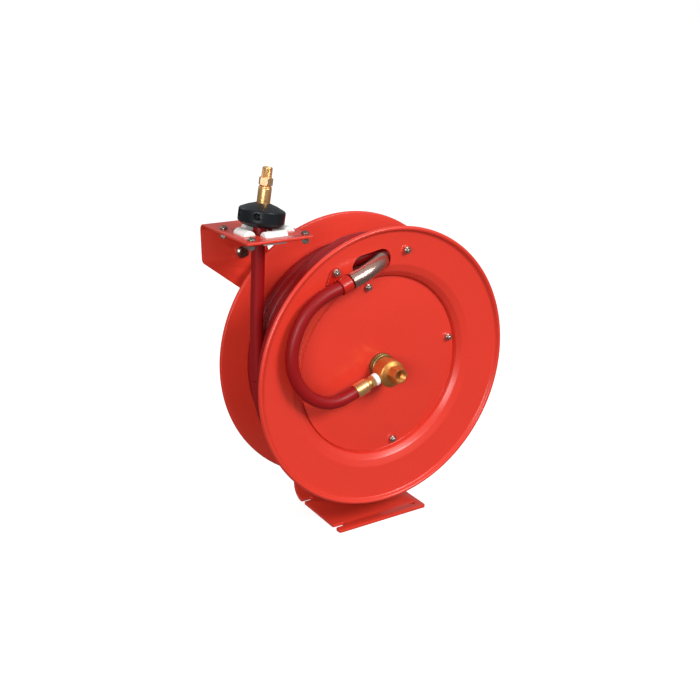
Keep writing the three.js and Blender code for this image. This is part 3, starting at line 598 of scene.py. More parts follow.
def winding():
    """The wound hose: two full layers and part of a third, clockwise as the front sees it.

    The turns of the outer layers are crowded to the rear near the slot, clear of the hose's entry."""
    stages = winding_stages()
    route = []
    for i in range(1, int(TURNS * POINTS_PER_TURN) + 1):
        turn = i / POINTS_PER_TURN
        radius, y = ENTRY
        for start, end, next_radius, next_y in stages:
            if turn <= start:
                break
            share = min(1.0, (turn - start) / (end - start))
            eased = share * share * (3 - 2 * share)
            hump = 2.5 * math.sin(math.pi * share) if start > 5 and next_radius == radius else 0.0
            radius += (next_radius - radius) * eased + hump
            y += (next_y - y) * eased
        degrees = 90 - 360 * turn
        from_slot = (degrees - 88 + 180) % 360 - 180
        near = math.exp(-(from_slot / 28) ** 2)
        crowd = {LAYERS[1]: 6 * (WINDING_REAR - y) / (2 * WINDING_REAR), LAYERS[2]: 12}
        crowd = crowd.get(round(radius, 3), 0.0)
        route.append(on_circle(radius, degrees, y + crowd * near))
    return route


HOSE_SIDES = 28
HOSE_SECTION = disc_outline(HOSE_RADIUS, segments=HOSE_SIDES)


def spool_hose():
    route = catmull(GOOSENECK_ROUTE, 3.5) + winding()[1:]
    route = [p + CENTRE for p in route]
    piece = build("spool_hose", [swept(route, HOSE_SECTION)], RED_RUBBER, "spool",
                  "gooseneck_hose", "hose_coil", uv_count=HOSE_SIDES)


spool_hose()

LEAN = Vector((math.sin(math.radians(STOP_TILT)), 0, math.cos(math.radians(STOP_TILT))))
TAIL_ROUTE = [
    (-184, 0, AXIS + GAP),
    (-184.4, 0, AXIS + 24),
    (-184.6, 0, AXIS + 48),
    (-184.2, -0.4, AXIS + 80),
    (-183, -1.6, AXIS + 120),
    (-181.8, -3, AXIS + 155),
    (-181.4, -4.2, AXIS + 182),
    *[STOP + LEAN * along for along in (-22, 0, 14, STOP_FERRULE - GAP)],
]


def tail_hose():
    route = catmull(TAIL_ROUTE, 2.5)
    piece = build("tail_hose", [swept(route, HOSE_SECTION)], RED_RUBBER, None, "hose_tail",
                  uv_count=HOSE_SIDES)
    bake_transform(piece)
    return piece, route


tail, tail_route = tail_hose()


# ---- Fasteners, drawn about Z from their seat at z = 0 ----
def hexagon(corner_radius):
    return disc_outline(corner_radius, segments=6)


def chamfered_hexagon(corner_radius, low, high, both=False):
    """A hexagonal bar whose top corners, or top and bottom corners, are turned away."""
    flat = corner_radius * 0.93
    drop = corner_radius * 0.07 / math.tan(math.radians(60)) + 0.4
    if both:
        foot = [(0, low), (flat, low), (corner_radius + 0.1, low + drop)]
    else:
        foot = [(0, low - 1), (corner_radius + 1, low - 1), (corner_radius + 0.1, low)]
    ball = [*foot, (corner_radius + 0.1, high - drop), (flat, high), (0, high)]
    return boolean(prism(hexagon(corner_radius), low, high), [turned(ball, 48)], "INTERSECT")


def bolt_end(radius, low, high, pitch=1.0):
    """A threaded shank with a chamfered end."""
    tip = turned([(0, high - pitch), (radius * 0.9, high - pitch), (radius * 0.9, high - 0.4),
                  (radius * 0.72, high), (0, high)], 24)
    return [threaded(radius, 0.07 * radius + 0.12, pitch, low, high - pitch / 2, segments=24), tip]


def lock_nut(corner_radius, height, bore):
    """A locknut: a chamfered hexagon and a round collar with a soft lip."""
    collar = corner_radius * 0.82
    body = chamfered_hexagon(corner_radius, 0, height * 0.68)
    lip = lathe([(bore, height * 0.5), (collar, height * 0.5), (collar, height, 0.9),
                 (bore + 0.5, height, 0.5), (bore, height - 0.7)], 36, 0.2)
    return [body, lip]


def plain_nut(corner_radius, height):
    return [chamfered_hexagon(corner_radius, 0, height, both=True)]


def flange_head(corner_radius, flange_radius, flange, height):
    """A bolt head with a sloped round flange under its hexagon."""
    skirt = lathe([(0, 0), (flange_radius, 0, 0.3), (flange_radius, 0.8, 0.5),
                   (corner_radius * 0.9, flange + 0.9, 0.6), (0, flange + 0.9)], 48)
    hexed = chamfered_hexagon(corner_radius, flange - 0.2, flange + height)
    dimple = turned([(0, flange + height - 0.6), (corner_radius * 0.5, flange + height - 0.6),
                     (corner_radius * 0.62, flange + height + 1), (0, flange + height + 1)], 32)
    return [skirt, boolean(hexed, [dimple])]


def button_head(radius, height):
    """A round head with a cross recess."""
    dome = lathe([(0, 0), (radius, 0, 0.2), (radius * 0.97, height * 0.35, 1.2),
                  (radius * 0.6, height * 0.92, 1.5), (0, height)], 40)
    arm = radius * 0.5
    bars = [prism([(-a, -b), (a, -b), (a, b), (-a, b)], height * 0.45, height + 1)
            for a, b in ((arm, 0.55), (0.55, arm))]
    return [boolean(dome, bars)]


def put(parts, at, axis, spin=0.0):
    return [moved(part, at, axis, spin) for part in parts]


# ---- Bent plates ----
def bent(part, start, centre, radius, thickness, up):
    """Bends a flat sheet (x, s, depth from its outer face) a quarter turn about X.

    The first leg starts at y = start. centre is the bend's (y, z), and up is 1 where the outer
    face of the first leg looks up, and -1 where it looks down."""
    straight = centre[0] - start
    arc = (radius - thickness / 2) * math.pi / 2
    bm = opened(part)
    cuts = 8
    for k in range(cuts + 1):
        geometry = [*bm.verts, *bm.edges, *bm.faces]
        bmesh.ops.bisect_plane(bm, geom=geometry, dist=1e-4,
                               plane_co=(0, straight + arc * k / cuts, 0), plane_no=(0, 1, 0))
    for vert in bm.verts:
        x, s, depth = vert.co
        reach = radius - depth
        if s < straight:
            vert.co = (x, start + s, centre[1] + up * reach)
        else:
            angle = min(1.0, (s - straight) / arc) * math.pi / 2
            rest = max(0.0, s - straight - arc)
            vert.co = (x, centre[0] + reach * math.sin(angle),
                       centre[1] + up * reach * math.cos(angle) - up * rest)
    bmesh.ops.triangulate(bm, faces=[f for f in bm.faces if len(f.verts) > 4])
    return shape_of(closed_up(bm))


def run_to(height, start, centre, radius, thickness):
    """Distance along a bent sheet from its front edge to a height on its second leg."""
    return centre[0] - start + (radius - thickness / 2) * math.pi / 2 + abs(height - centre[1])


def pedestal():
    centre = (POST_BACK - FOOT_BEND, FOOT_BEND)
    top = run_to(POST_TOP, FOOT_FRONT, centre, FOOT_BEND, PLATE)
    outline = [(-FOOT_HALF, 0, 4), (FOOT_HALF, 0, 4), (FOOT_HALF, top, POST_CORNER),
               (-FOOT_HALF, top, POST_CORNER)]
    mouth = 2.5
    for y in reversed(FOOT_HOLE_ROWS):
        s = y - FOOT_FRONT
        outline += [(-FOOT_HALF, s + FOOT_HOLE_RADIUS, mouth)]
        outline += [(FOOT_SLOT_X + FOOT_HOLE_RADIUS * math.sin(math.radians(a)),
                     s + FOOT_HOLE_RADIUS * math.cos(math.radians(a)), 0) for a in range(0, 181, 15)]
        outline += [(-FOOT_HALF, s - FOOT_HOLE_RADIUS, mouth)]
    holes = [disc_outline(FOOT_HOLE_RADIUS, FOOT_HOLE_X, y - FOOT_FRONT) for y in FOOT_HOLE_ROWS]

    def on_post(radius, x, z):
        return disc_outline(radius, x, run_to(z, FOOT_FRONT, centre, FOOT_BEND, PLATE))

    holes += [on_post(M8_HOLE, x, z) for x, z in POST_BOLTS]
    holes += [on_post(SHAFT_RADIUS + GAP, 0, AXIS), on_post(M8_HOLE, PAWL_PIVOT[0], AXIS + PAWL_PIVOT[1])]
    flat = sheet(fillet(outline, steps=6), holes, PLATE, 0.7)
    return bent(flat, FOOT_FRONT, centre, FOOT_BEND, PLATE, -1)


def window_outline():
    """One window for the four rollers, in the shape of a cross."""
    reach, half = ROLLER_OFFSET + ROLLER_RADIUS + 1, ROLLER_WINDOW
    arm = [(reach, -half), (reach, half), (half, half)]
    outline = []
    for _ in range(4):
        outline += arm
        arm = [(-y, x) for x, y in arm]
    return fillet(outline, 1.5)


def guide_bracket():
    centre = (POST_BACK - BRACKET_BEND, GUIDE.z - BRACKET_BEND)

    def run(z):
        return run_to(z, BRACKET_FRONT, centre, BRACKET_BEND, BRACKET_SHEET)

    outline = [(BRACKET_LEFT, 0, 2.5), (BRACKET_RIGHT, 0, 2.5), (BRACKET_RIGHT, run(AXIS + 195), 8),
               (LEG_RIGHT, run(AXIS + 160), 8), (LEG_RIGHT, run(AXIS + 100), 8), (-150, run(AXIS + 100), 12),
               (-226.5, run(AXIS + 160), 10), (BRACKET_LEFT, run(AXIS + 207.4), 3)]
    shift = Vector((GUIDE.x, GUIDE.y - BRACKET_FRONT))
    holes = [[p + shift for p in window_outline()]]
    holes += [disc_outline(GUIDE_BOLT_RADIUS + GAP, *(Vector(spot) + shift)) for spot in GUIDE_BOLTS]
    holes += [disc_outline(M8_HOLE, x, run(z)) for x, z in ARM_BOLTS]
    flat = sheet(fillet(outline, steps=5), holes, BRACKET_SHEET, 0.5)
    return bent(flat, BRACKET_FRONT, centre, BRACKET_BEND, BRACKET_SHEET, 1)


def retainer():
    x, y = RETAINER_HALF_X, RETAINER_HALF_Y
    outline = fillet([(-x, -y), (x, -y), (x, y), (-x, y)], 4)
    holes = [window_outline()]
    holes += [disc_outline(GUIDE_BOLT_RADIUS + GAP, *spot) for spot in GUIDE_BOLTS]
    return moved(sheet(outline, holes, RETAINER_SHEET), GUIDE + Z * (RETAINER_TOP - RETAINER_SHEET))


def guide_arm():
    """The flat bar behind the post, drawn in X and Z."""
    foot, top = Vector(POST_BOLTS[1]), Vector(ARM_BOLTS[0])
    way = (top - foot).angle_signed(Vector((1, 0)))

    def round_end(middle, start):
        angles = [start + math.pi * k / 20 for k in range(21)]
        return [middle + Vector((ARM_HALF_WIDTH * math.cos(a), ARM_HALF_WIDTH * math.sin(a)))
                for a in angles]

    outline = round_end(foot, way + math.pi / 2) + round_end(top, way - math.pi / 2)
    holes = [disc_outline(M8_HOLE, *spot) for spot in ARM_BOLTS + POST_BOLTS]
    flat = sheet(outline, holes, ARM_THICKNESS, 0.6)
    return moved(flat, (0, POST_BACK + GAP + ARM_THICKNESS, 0), -Y)


def frame_pieces():
    for name, part, node in (("pedestal_plate", pedestal(), "pedestal"),
                             ("guide_bracket_sheet", guide_bracket(), "guide_bracket"),
                             ("retainer_sheet", retainer(), "roller_retainer"),
                             ("guide_arm_bar", guide_arm(), "guide_arm")):
        build(name, [part], RED_PAINT, "frame", node)


def m8_bolts():
    """Flange bolts through the arm, each with its nut behind."""
    head = flange_head(7, 9, 2, 5.5)
    nut = plain_nut(7.5, 6.5)
    back = POST_BACK + 2 * GAP + ARM_THICKNESS
    seats = {"bracket": (ARM_BOLTS, POST_BACK - BRACKET_SHEET - GAP),
             "post": (POST_BOLTS, POST_BACK - PLATE - GAP)}
    for where, (spots, seat) in seats.items():
        for i, (x, z) in enumerate(spots, 1):
            shank = bolt_end(4, 0, back + 9 - seat, 1.25)
            parts = put(head, (x, seat, z), -Y, 12 * i) + put(shank, (x, seat, z), Y)
            build(f"{where}_flange_bolt_{i}", parts, DARK_ZINC, "frame", f"{where}_bolt_{i}")
            build(f"{where}_nut_{i}", put(nut, (x, back, z), Y, 25 * i), ZINC, "frame")


def guide_bolts():
    head = button_head(5.5, 4)
    low = RETAINER_TOP - RETAINER_SHEET - GAP
    nut = plain_nut(M6_NUT_RADIUS, 5)
    for i, (x, y) in enumerate(GUIDE_BOLTS, 1):
        top = GUIDE + Vector((x, y, GAP))
        parts = put(head, top, Z, 20 * i) + put(bolt_end(GUIDE_BOLT_RADIUS, 0, 7.3 - low, 0.8), top, -Z)
        build(f"round_head_bolt_{i}", parts, DARK_ZINC, "frame", f"guide_bolt_{i}")
        build(f"guide_nut_{i}", put(nut, GUIDE + Vector((x, y, low)), -Z, 17 * i), ZINC, "frame")


def rollers():
    half, edge = ROLLER_LENGTH / 2, 2.2
    roller = lathe([(PIN_RADIUS + 0.5, -half, 0.3), (ROLLER_RADIUS, -half, edge),
                    (ROLLER_RADIUS, half, edge), (PIN_RADIUS + 0.5, half, 0.3)], 64)
    end = PIN_LENGTH / 2
    pin = turned([(0, -end), (1.5, -end), (PIN_RADIUS, 0.5 - end), (PIN_RADIUS, end - 0.5), (1.5, end),
                  (0, end)], 24)
    spots = {"left": (-ROLLER_OFFSET, 0, Y), "right": (ROLLER_OFFSET, 0, Y),
             "front": (0, -ROLLER_OFFSET, X), "back": (0, ROLLER_OFFSET, X)}
    for side, (x, y, axis) in spots.items():
        at = GUIDE + Vector((x, y, -PIN_DROP))
        build(f"{side}_nylon_roller", [moved(roller, at, axis)], NYLON, f"roller_{side}", f"{side}_roller")
        build(f"{side}_pin", [moved(pin, at, axis)], STEEL, "frame", f"{side}_roller_pin")


frame_pieces()
m8_bolts()
guide_bolts()
rollers()


# ---- Spool ----
# The ring's section, as (radius, outward distance, corner radius).
RING = [(LAND_RADIUS, LAND_OFFSET, 0.5), (138.8, LAND_OFFSET, 2), (140, 46, 4), (147, 52.4, 8),
        (158, 56.6, 10), (207, 59.9, 3), (210, 65, 2.5), (213, 66, 2.5), (FLANGE_RADIUS, 62.5, 3),
        (213.5, 59, 1.2), (207, 58.3, 3), (158.6, 55, 10), (148, 50.9, 8), (141.6, 45, 4),
        (140.6, LAND_OFFSET - SHEET, 2), (LAND_RADIUS, LAND_OFFSET - SHEET, 0.5)]
FACE = {"front": -Y, "rear": Y}


def hose_slot():
    """A tool with the slot's outline: two half circles and the straight sides between them."""
    outline = []
    for side, first in ((1, -12), (-1, 12)):
        for i in range(first, first + 25):
            angle = 2 * math.pi * i / 48
            outline.append((side * SLOT_HALF + SLOT_RADIUS * math.cos(angle),
                            SLOT_RADIUS * math.sin(angle)))
    return moved(prism(outline, 40, 72), (*SLOT_CENTRE, 0), Z, SLOT_TILT)


def spool_pieces():
    ring = lathe(RING, 192, steps=5)
    slotted = boolean(ring, [hose_slot()])
    disc = lathe([(14, DISC_OFFSET - DISC_SHEET), (DISC_RADIUS, DISC_OFFSET - DISC_SHEET),
                  (DISC_RADIUS, DISC_OFFSET), (14, DISC_OFFSET)], 192, 0.6, 3)
    bush = lathe([(10.4, LAND_OFFSET - 6), (24, LAND_OFFSET - 3), (24, LAND_OFFSET), (13.6, LAND_OFFSET),
                  (13.6, DISC_OFFSET), (10.4, DISC_OFFSET)], 64, 0.4)
    for side, way in FACE.items():
        shape = slotted if side == "front" else ring
        build(f"{side}_ring_pressing", [moved(shape, CENTRE, way)], RED_PAINT, "spool",
              f"{side}_flange_ring", sharp=40)
        build(f"{side}_end_disc", [moved(disc, CENTRE, way)], RED_PAINT, "spool", f"{side}_disc")
        build(f"{side}_flanged_bush", [moved(bush, CENTRE, way)], NYLON, "spool", f"{side}_bush")
    end, bore = LAND_OFFSET - SHEET - GAP, DRUM_RADIUS - DRUM_WALL
    shell = [(LAND_RADIUS, -end), (DRUM_RADIUS, -end, 2), (DRUM_RADIUS, end, 2), (LAND_RADIUS, end),
             (LAND_RADIUS, end - DRUM_WALL), (bore, end - DRUM_WALL), (bore, DRUM_WALL - end),
             (LAND_RADIUS, DRUM_WALL - end)]
    build("drum_shell", [moved(lathe(shell, 128), CENTRE, Y)], RED_PAINT, "spool", "drum")


def sheet_bolt(name, circle, angle, way, inner, outer, *replaced):
    """A small bolt through the spool's sheets, with a locknut outside."""
    at = CENTRE + on_circle(circle, angle)
    parts = put(lock_nut(M6_NUT_RADIUS, 5, 3.1), at + way * outer, way, angle * 1.7)
    parts += put(bolt_end(3, 0, outer + 7.5 - inner, 0.9), at + way * inner, way)
    head = lathe([(0, 0), (6, 0, 0.3), (5.4, 1.6, 0.8), (0, 1.6)], 32)
    parts.append(moved(head, at + way * (inner + 1.6), -way))
    build(name, parts, ZINC, "spool", *replaced)


def sheet_bolts():
    inner, outer = LAND_OFFSET - SHEET - GAP - 2.7, DISC_OFFSET + GAP
    for i, angle in enumerate(DISC_BOLT_ANGLES, 1):
        sheet_bolt(f"disc_locknut_{i}", DISC_BOLT_CIRCLE, angle, -Y, inner, outer, f"disc_bolt_{i}")
        sheet_bolt(f"rear_disc_locknut_{i}", DISC_BOLT_CIRCLE, angle, Y, inner, outer)
    low, seat = RING_OFFSET - SHEET - RING_BOLT_SEAT, RING_OFFSET + RING_BOLT_SEAT
    for i, (spot, high) in enumerate(zip(RING_BOLTS, (seat, seat + CLIP_SHEET + GAP)), 1):
        sheet_bolt(f"ring_locknut_{i}", *spot, -Y, low, high, f"ring_bolt_{i}")


spool_pieces()
sheet_bolts()


# ---- Swivel, gooseneck fitting, sleeve and clip ----
def on_outlet(part, spin=0.0):
    return moved(part, CENTRE - Y * SWIVEL_MIDDLE, OUTLET, spin)


def swivel():
    collar = lathe([(SHAFT_RADIUS + GAP, DISC_OFFSET + GAP), (20, DISC_OFFSET + GAP, 0.6), (20, 46.6, 0.6),
                    (18.4, 47, 0.3), (18.4, 48.6, 0.3), (20, 49, 0.6), (20, COLLAR_FRONT - 0.8, 0.6),
                    (19, COLLAR_FRONT, 0.5), (SHAFT_RADIUS + GAP, COLLAR_FRONT)], 64)
    build("collar_ring", [moved(collar, CENTRE, -Y)], DARK_BRASS, "frame", "front_collar")
    outside = lathe([(0, SWIVEL_BACK), (20.8, SWIVEL_BACK, 1), (20.8, SWIVEL_FRONT - 4.2, 0.5),
                     (19.3, SWIVEL_FRONT - 2.7, 0.5), (14, SWIVEL_FRONT, 0.8), (0, SWIVEL_FRONT)], 96)
    bore = rod(SWIVEL_BORE, SWIVEL_BACK - 1, SWIVEL_FRONT + 1, 64)
    body = boolean(moved(outside, CENTRE + SWIVEL_SHIFT, -Y),
                   [moved(bore, CENTRE, -Y), on_outlet(rod(6.4, 0, 30))])
    build("swivel_housing", [body], BRASS, "spool", "swivel_body")

    port = threaded(8.2, 0.7, 1.4, INLET_END - 11, INLET_END + 0.5, inner=True, taper=0.02)
    drill = turned([(0, INLET_END - 13), (7.8, INLET_END - 11), (7.8, INLET_END - 9),
                    (0, INLET_END - 9)], 48)
    mouth = turned([(0, INLET_END - 1.2), (8.3, INLET_END - 1.2), (9.6, INLET_END + 0.4),
                    (0, INLET_END + 0.4)], 64)
    hexed = chamfered_hexagon(12.3, SWIVEL_FRONT + GAP, INLET_END)
    drilled = boolean(hexed, [port, drill, mouth])
    stem = rod(STEM_RADIUS, SWIVEL_BACK, SWIVEL_FRONT + 1, 48)
    build("inlet_stem", put([drilled, stem], CENTRE, -Y), BRASS, "frame", "swivel_stem")


def outlet_fitting():
    band = [(7.8 + 1.7 * math.sin(math.pi * k / 16) ** 0.5 + 0.12 * (k % 2), 22.8 + 7.5 * k / 16)
            for k in range(17)]
    tape = turned([(6.4, 22.8), *band, (6.4, 30.3)], 64)
    build("tape_band", [on_outlet(tape)], TAPE, "spool", "sealing_tape")
    neck = lathe([(0, 11), (6, 11), (6, 36.4), (7.4, 36.7), (7.4, 38.9, 0.6), (8.6, 39.4, 0.5),
                  (8.6, 40.3, 0.5), (7.8, 40.7, 0.5), (9.4, 41.5, 0.5), (9.4, 42.3, 0.5), (8.8, 42.7, 0.4),
                  (10.9, FERRULE_START + 1, 0.8), (11, 47, 0.3), (10.7, 47.7, 0.3), (11, 48.4, 0.3),
                  (11, FERRULE_END - 0.8, 0.6), (10.4, FERRULE_END, 0.4), (HOSE_RADIUS + GAP, FERRULE_END),
                  (HOSE_RADIUS + GAP, 45), (0, 45)], 64)
    nut = chamfered_hexagon(9.8, 30.9, 36.9, both=True)
    build("gooseneck_ferrule", [on_outlet(neck), on_outlet(nut, 10)], END_BRASS, "spool",
          "gooseneck_fitting")


def hollow(route, outer, inner, sides):
    """A tube along a route with rounded lips, its wall between two radii."""
    lip = 0.35
    radii = [inner + lip, outer - lip, *[outer] * (len(route) - 2), outer - lip, inner + lip]
    steps = [0, 0, *range(1, len(route) - 1), len(route) - 1, len(route) - 1]
    skin = swept(route, disc_outline(1, segments=sides))[0]
    rings = [skin[i * sides:(i + 1) * sides] for i in range(len(route))]

    def ring(i, radius):
        middle = route[i]
        return [middle + (Vector(p) - middle) * radius for p in rings[i]]

    outside = [ring(i, radius) for i, radius in zip(steps, radii)]
    inside = [ring(i, inner) for i in range(len(route) - 1, -1, -1)]
    loops = outside + inside
    faces = []
    for i in range(len(loops)):
        faces += wall(i * sides, (i + 1) % len(loops) * sides, sides)
    return [p for loop in loops for p in loop], faces


SLEEVE_RADIUS, SLEEVE_BORE = 12.25, 10.3
SLEEVE_SIDES = 48


def sleeve():
    route = [p + CENTRE for p in catmull(SLEEVE_ROUTE, 2.5)]
    # The sleeve's pink tint is a painted reflection of the red round it.
    build("steel_sleeve", [hollow(route, SLEEVE_RADIUS, SLEEVE_BORE, SLEEVE_SIDES)], STEEL_TINTED_BY_PAINTED_REFLECTION, "spool",
          "hose_sleeve", uv_count=SLEEVE_SIDES)


def melted(part, voxel=0.45, rounds=10):
    """The same part with every edge and inner corner run together, as by a dipped coat."""
    base = linked("base", mesh_of("base", part))
    grid = base.modifiers.new("grid", "REMESH")
    grid.mode, grid.voxel_size = "VOXEL", voxel
    ease = base.modifiers.new("ease", "SMOOTH")
    ease.factor, ease.iterations = 0.5, rounds
    result = evaluated(base)
    bpy.data.objects.remove(base)
    return result


def clip():
    """The dipped P-clip: a band round the hose and an ear under the ring bolt."""
    at = CENTRE + Vector(CLIP_CENTRE)
    way = Vector((19, -0.1, 6.9)).normalized()
    half = CLIP_HALF_WIDTH
    inner, outer = HOSE_RADIUS + 0.2, HOSE_RADIUS + CLIP_SHEET + 0.5
    band = turned([(inner, -half), (outer, -half), (outer, half), (inner, half)], 64)
    ear = fillet([(half, -20), (half, 0, 7.8), (0, 9.4, 7.8), (-half, 0, 7.8), (-half, -20)], steps=6)
    seat = CENTRE + on_circle(*RING_BOLTS[1]) - Y * (RING_OFFSET + RING_BOLT_SEAT)
    plate = moved(prism(ear, 0, CLIP_SHEET + 0.2), seat, -Y, -20)
    shape = melted(boolean(moved(band, at, way), [plate], "UNION"))
    build("dipped_clip", [shape], DIPPED, "spool", "hose_clamp", sharp=180)


swivel()
outlet_fitting()
sleeve()
clip()


# ---- Shaft and spring motor ----
def shaft():
    end = COLLAR_FRONT - GAP
    core = lathe([(0, -end), (SHAFT_RADIUS, -end, 0.6), (SHAFT_RADIUS, 77), (16, 77, 0.6),
                  (16, POST_BACK - PLATE - GAP, 0.6), (SHAFT_RADIUS, POST_BACK - PLATE - GAP),
                  (SHAFT_RADIUS, POST_BACK), (0, POST_BACK)], 64)
    thread = bolt_end(SHAFT_RADIUS, POST_BACK - 1, 100, 1.5)
    build("turned_shaft", put([core, *thread], CENTRE, Y), STEEL, "frame", "main_shaft")
    ring = lathe([(SHAFT_RADIUS + GAP, 0), (18, 0, 0.4), (18, 2, 0.6), (SHAFT_RADIUS + GAP, 2)], 64)
    build("plain_washer", [moved(ring, CENTRE + Y * (POST_BACK + GAP), Y)], ZINC, "frame", "shaft_washer")
    build("shaft_hex_nut", put(plain_nut(17, 10), CENTRE + Y * (POST_BACK + 2.6), Y, 8), ZINC, "frame",
          "shaft_nut")


def spring_motor():
    front = DISC_OFFSET + GAP
    inner = CANISTER_RADIUS - CANISTER_SHEET
    can = lathe([(14, front), (CANISTER_RADIUS, front, 5), (CANISTER_RADIUS, CANISTER_BACK),
                 (inner, CANISTER_BACK), (inner, front + CANISTER_SHEET, 3.5),
                 (14, front + CANISTER_SHEET)], 128, 0.2)
    build("canister_cup", [moved(can, CENTRE, Y)], RED_PAINT, "spool", "spring_canister")
    base = CANISTER_BACK + GAP
    lid = lathe([(14, base), (CANISTER_RADIUS, base, 0.4), (CANISTER_RADIUS, base + CANISTER_SHEET),
                 (14, base + CANISTER_SHEET)], 128, 0.6)
    build("canister_lid", [moved(lid, CENTRE, Y)], RED_PAINT, "spool", "canister_cover")
    for i in range(6):
        at = CENTRE + on_circle(92, 60 * i + 15) + Y * (base + CANISTER_SHEET)
        build(f"lid_screw_{i + 1}", put(button_head(4, 2.4), at, Y, 33 * i), ZINC, "spool")


def ratchet():
    root, points = RATCHET_RADIUS - 6, []
    for i in range(RATCHET_TEETH):
        for radius, share in ((root, i), (RATCHET_RADIUS, i + 0.86)):
            place = on_circle(radius, 360 * share / RATCHET_TEETH)
            points.append((place.x, place.z))
    hub = disc_outline(14, segments=64)
    wheel = sheet(fillet(points, 0.8, 3), [hub], RATCHET_THICKNESS, 0.35)
    build("ratchet_disc", [moved(wheel, CENTRE + Y * (RATCHET_FRONT + RATCHET_THICKNESS), -Y)], ZINC,
          "spool", "ratchet_wheel")


def pawl():
    """The pawl, its shouldered pivot and the torsion spring round the shoulder."""
    px, pz = PAWL_PIVOT
    at = CENTRE + Vector((px, 0, pz))
    reach = math.hypot(px, pz) - RATCHET_RADIUS - 1.2
    turn = math.degrees(math.atan2(-pz, -px)) - 90
    outline = [(-9, -3), (-5, -9), (3, -10), (9, -5), (26, 3), (26, 9), (8, 9), (-4, reach),
               (-9, reach - 1)]
    shape = sheet(fillet(outline, 1.5), [disc_outline(5)], RATCHET_THICKNESS)
    end = RATCHET_FRONT + RATCHET_THICKNESS
    build("pawl_plate", [moved(shape, at + Y * end, -Y, turn)], ZINC, "pawl", "latch_pawl")
    pin = lathe([(0, RATCHET_FRONT - 2.1), (7, RATCHET_FRONT - 2.1, 1.4), (7.5, RATCHET_FRONT - GAP),
                 (4.6, RATCHET_FRONT - GAP), (4.6, end + GAP), (6, end + GAP), (6, POST_BACK - PLATE - GAP),
                 (4, POST_BACK - PLATE - GAP), (4, POST_BACK), (0, POST_BACK)], 48)
    nut = put(plain_nut(7.5, 6), at + Y * (POST_BACK + GAP), Y, 20)
    build("pawl_pin", put([pin, *bolt_end(4, POST_BACK - 1, POST_BACK + 9, 1.25)], at, Y) + nut, ZINC,
          "frame", "pawl_pivot")
    coil = [at + on_circle(7, 30 + 24 * k) + Y * (end + 0.9 + 2.6 * k / 38) for k in range(39)]
    ends = at + on_circle(20, 30, end + 0.9), at + on_circle(17, 230, end + 3.5)
    wire = swept([ends[0], *coil, ends[1]], disc_outline(0.55, segments=8))
    build("pawl_spring", [wire], SPRING_STEEL, "frame")


def hidden_nodes():
    """CAD nodes that stay as they are, inside the canister and the swivel."""
    for name, material in {"mainspring": SPRING_STEEL, "spring_arbor": STEEL,
                           "swivel_seal": BLACK_RUBBER}.items():
        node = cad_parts[name]
        node.data.materials.clear()
        node.data.materials.append(material)


shaft()
spring_motor()
ratchet()
pawl()
hidden_nodes()


# ---- Hose end: stop ball, ferrule and male fitting ----
def on_stop(part, spin=0.0):
    return moved(part, STOP, LEAN, spin)


def stop_ball():
    section = fillet([(STOP_BORE, 0, 0.3), (25, 0, 1.5), (32.3, 5, 4), (32.3, 21.5, 2.5),
                      (30.8, 23.2, 2), (21, 27.8, 8), (11.5, 31, 2), (STOP_BORE, 31, 0.3)], steps=5)
    quarter = math.pi / 2
    halves = {"left": (quarter, 3 * quarter, -1), "right": (-quarter, quarter, 1)}
    for side, (first, last, way) in halves.items():
        half = moved(turned(section, 64, (first, last)), (way * GAP / 2, 0, 0))
        tools = []
        for y in (-STOP_SCREW_Y, STOP_SCREW_Y):
            at = (0, y, STOP_SCREW_Z)
            if side == "left":
                tools += [moved(prism(hexagon(5.4), 14, 60), at, -X, 10), moved(rod(2.8, -1, 20), at, -X)]
            else:
                tools.append(moved(rod(2.8, -1, 22), at, X))
        build(f"stop_{side}_half", [on_stop(boolean(half, tools), STOP_TURN)], BLACK_RUBBER, "hose_end",
              f"stop_ball_{side}")
    for side, y in (("front", -STOP_SCREW_Y), ("back", STOP_SCREW_Y)):
        socket = prism(hexagon(2.3), 16.5, 20)
        head = boolean(lathe([(0, 14.3), (4.4, 14.3, 0.3), (4.4, 19, 0.8), (0, 19)], 32), [socket])
        screw = put([head, rod(2.5, -20, 15)], (0, y, STOP_SCREW_Z), -X)
        build(f"stop_cap_screw_{side}", [on_stop(part, STOP_TURN) for part in screw], STEEL, "hose_end",
              f"stop_screw_{side}")


def end_fittings():
    ferrule = lathe([(6.3, STOP_FERRULE), (9.3, STOP_FERRULE, 0.4), (9.3, 50.8, 0.3), (9, 51.4, 0.3),
                     (9.2, 52.1, 0.3), (9.1, 53.3, 0.7), (8, 54, 0.5), (6.3, 54)], 64)
    build("crimped_ferrule", [on_stop(ferrule)], END_BRASS, "hose_end", "hose_end_ferrule")
    bore = 4.6
    core = lathe([(bore, STOP_FERRULE), (6, STOP_FERRULE), (6, 54.2), (7.7, 54.4, 0.3), (8.1, 55.1, 0.4),
                  (7.7, 55.8, 0.3), (bore, 55.8)], 48)
    hexed = boolean(chamfered_hexagon(10.1, 55.5, 65.5, both=True), [rod(bore, 50, 70, 48)])
    plug = threaded(7.3, 0.45, 1.41, 65.4, 78.6, taper=0.012, segments=64)
    tip = lathe([(0, 78), (6.7, 78, 0.2), (6.2, 80, 0.4), (0, 80)], 64)
    root = turned([(0, 65), (6.8, 65), (6.8, 66.2), (0, 66.2)], 64)
    nose = [boolean(part, [rod(bore, 50, 84, 48)]) for part in (root, plug, tip)]
    build("male_fitting", [on_stop(part) for part in (core, *nose)], END_BRASS, "hose_end",
          "hose_end_fitting")
    build("fitting_hexagon", [on_stop(hexed, 14)], PINK_BRASS, "hose_end")


stop_ball()
end_fittings()


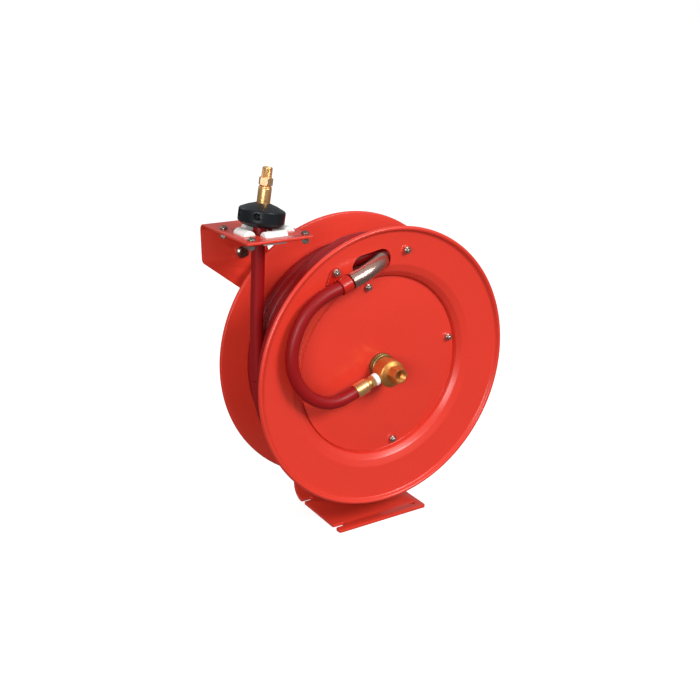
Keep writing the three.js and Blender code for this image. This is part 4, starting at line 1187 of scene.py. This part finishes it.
# ---- Studio: a white sky that only the camera sees, a pale floor and three lamps ----
SKY_LOW, SKY_HIGH = 0.15, 0.6
FLOOR_GREY, FLOOR_GLOW = 0.6, 0.72
FLOOR_HALF = 150                # metres
LAMPS = {                       # place and size in metres, power in watts
    "key": ((1.0, -2.3, 2.0), 1.0, 64),
    "fill": ((-2.1, -2.0, 1.1), 1.2, 46),
    "back": ((-1.2, 1.8, 1.8), 1.2, 8),
}


def sky():
    """Grey that brightens upwards for the light it gives, and white to the camera."""
    world = bpy.data.worlds.new("studio")
    world.use_nodes = True
    nodes, links = world.node_tree.nodes, world.node_tree.links
    background = fill(nodes["Background"], Strength=1.0)
    split = nodes.new("ShaderNodeSeparateXYZ")
    links.new(nodes.new("ShaderNodeTexCoord").outputs["Generated"], split.inputs["Vector"])
    height = fill(nodes.new("ShaderNodeMapRange"), From_Min=-0.1, From_Max=0.9, To_Min=SKY_LOW,
                  To_Max=SKY_HIGH)
    links.new(split.outputs["Z"], height.inputs["Value"])
    mix = fill(nodes.new("ShaderNodeMix"), B=1.0)
    links.new(nodes.new("ShaderNodeLightPath").outputs["Is Camera Ray"], mix.inputs["Factor"])
    links.new(height.outputs["Result"], mix.inputs["A"])
    links.new(mix.outputs["Result"], background.inputs["Color"])
    bpy.context.scene.world = world


def floor():
    half = FLOOR_HALF
    plane = mesh_of("floor", ([(-half, -half, 0), (half, -half, 0), (half, half, 0), (-half, half, 0)],
                              [(0, 1, 2, 3)]))
    pale = bpy.data.materials.new("pale_floor")
    pale.use_nodes = True
    fill(pale.node_tree.nodes["Principled BSDF"], Base_Color=(FLOOR_GREY,) * 3 + (1,), Roughness=0.9,
         Emission_Color=(1, 1, 1, 1), Emission_Strength=FLOOR_GLOW)
    plane.materials.append(pale)
    ground = linked("floor", plane)
    ground.visible_diffuse = ground.visible_glossy = False


def lamps():
    for name, (place, size, watts) in LAMPS.items():
        data = bpy.data.lights.new(name, "AREA")
        data.size, data.energy = size, watts
        lamp = linked(name, data)
        lamp.location = place
        lamp.rotation_mode = "QUATERNION"
        lamp.rotation_quaternion = (CENTRE * MM - Vector(place)).to_track_quat("-Z", "Y")


bpy.context.scene.view_settings.view_transform = "Standard"
sky()
floor()
lamps()
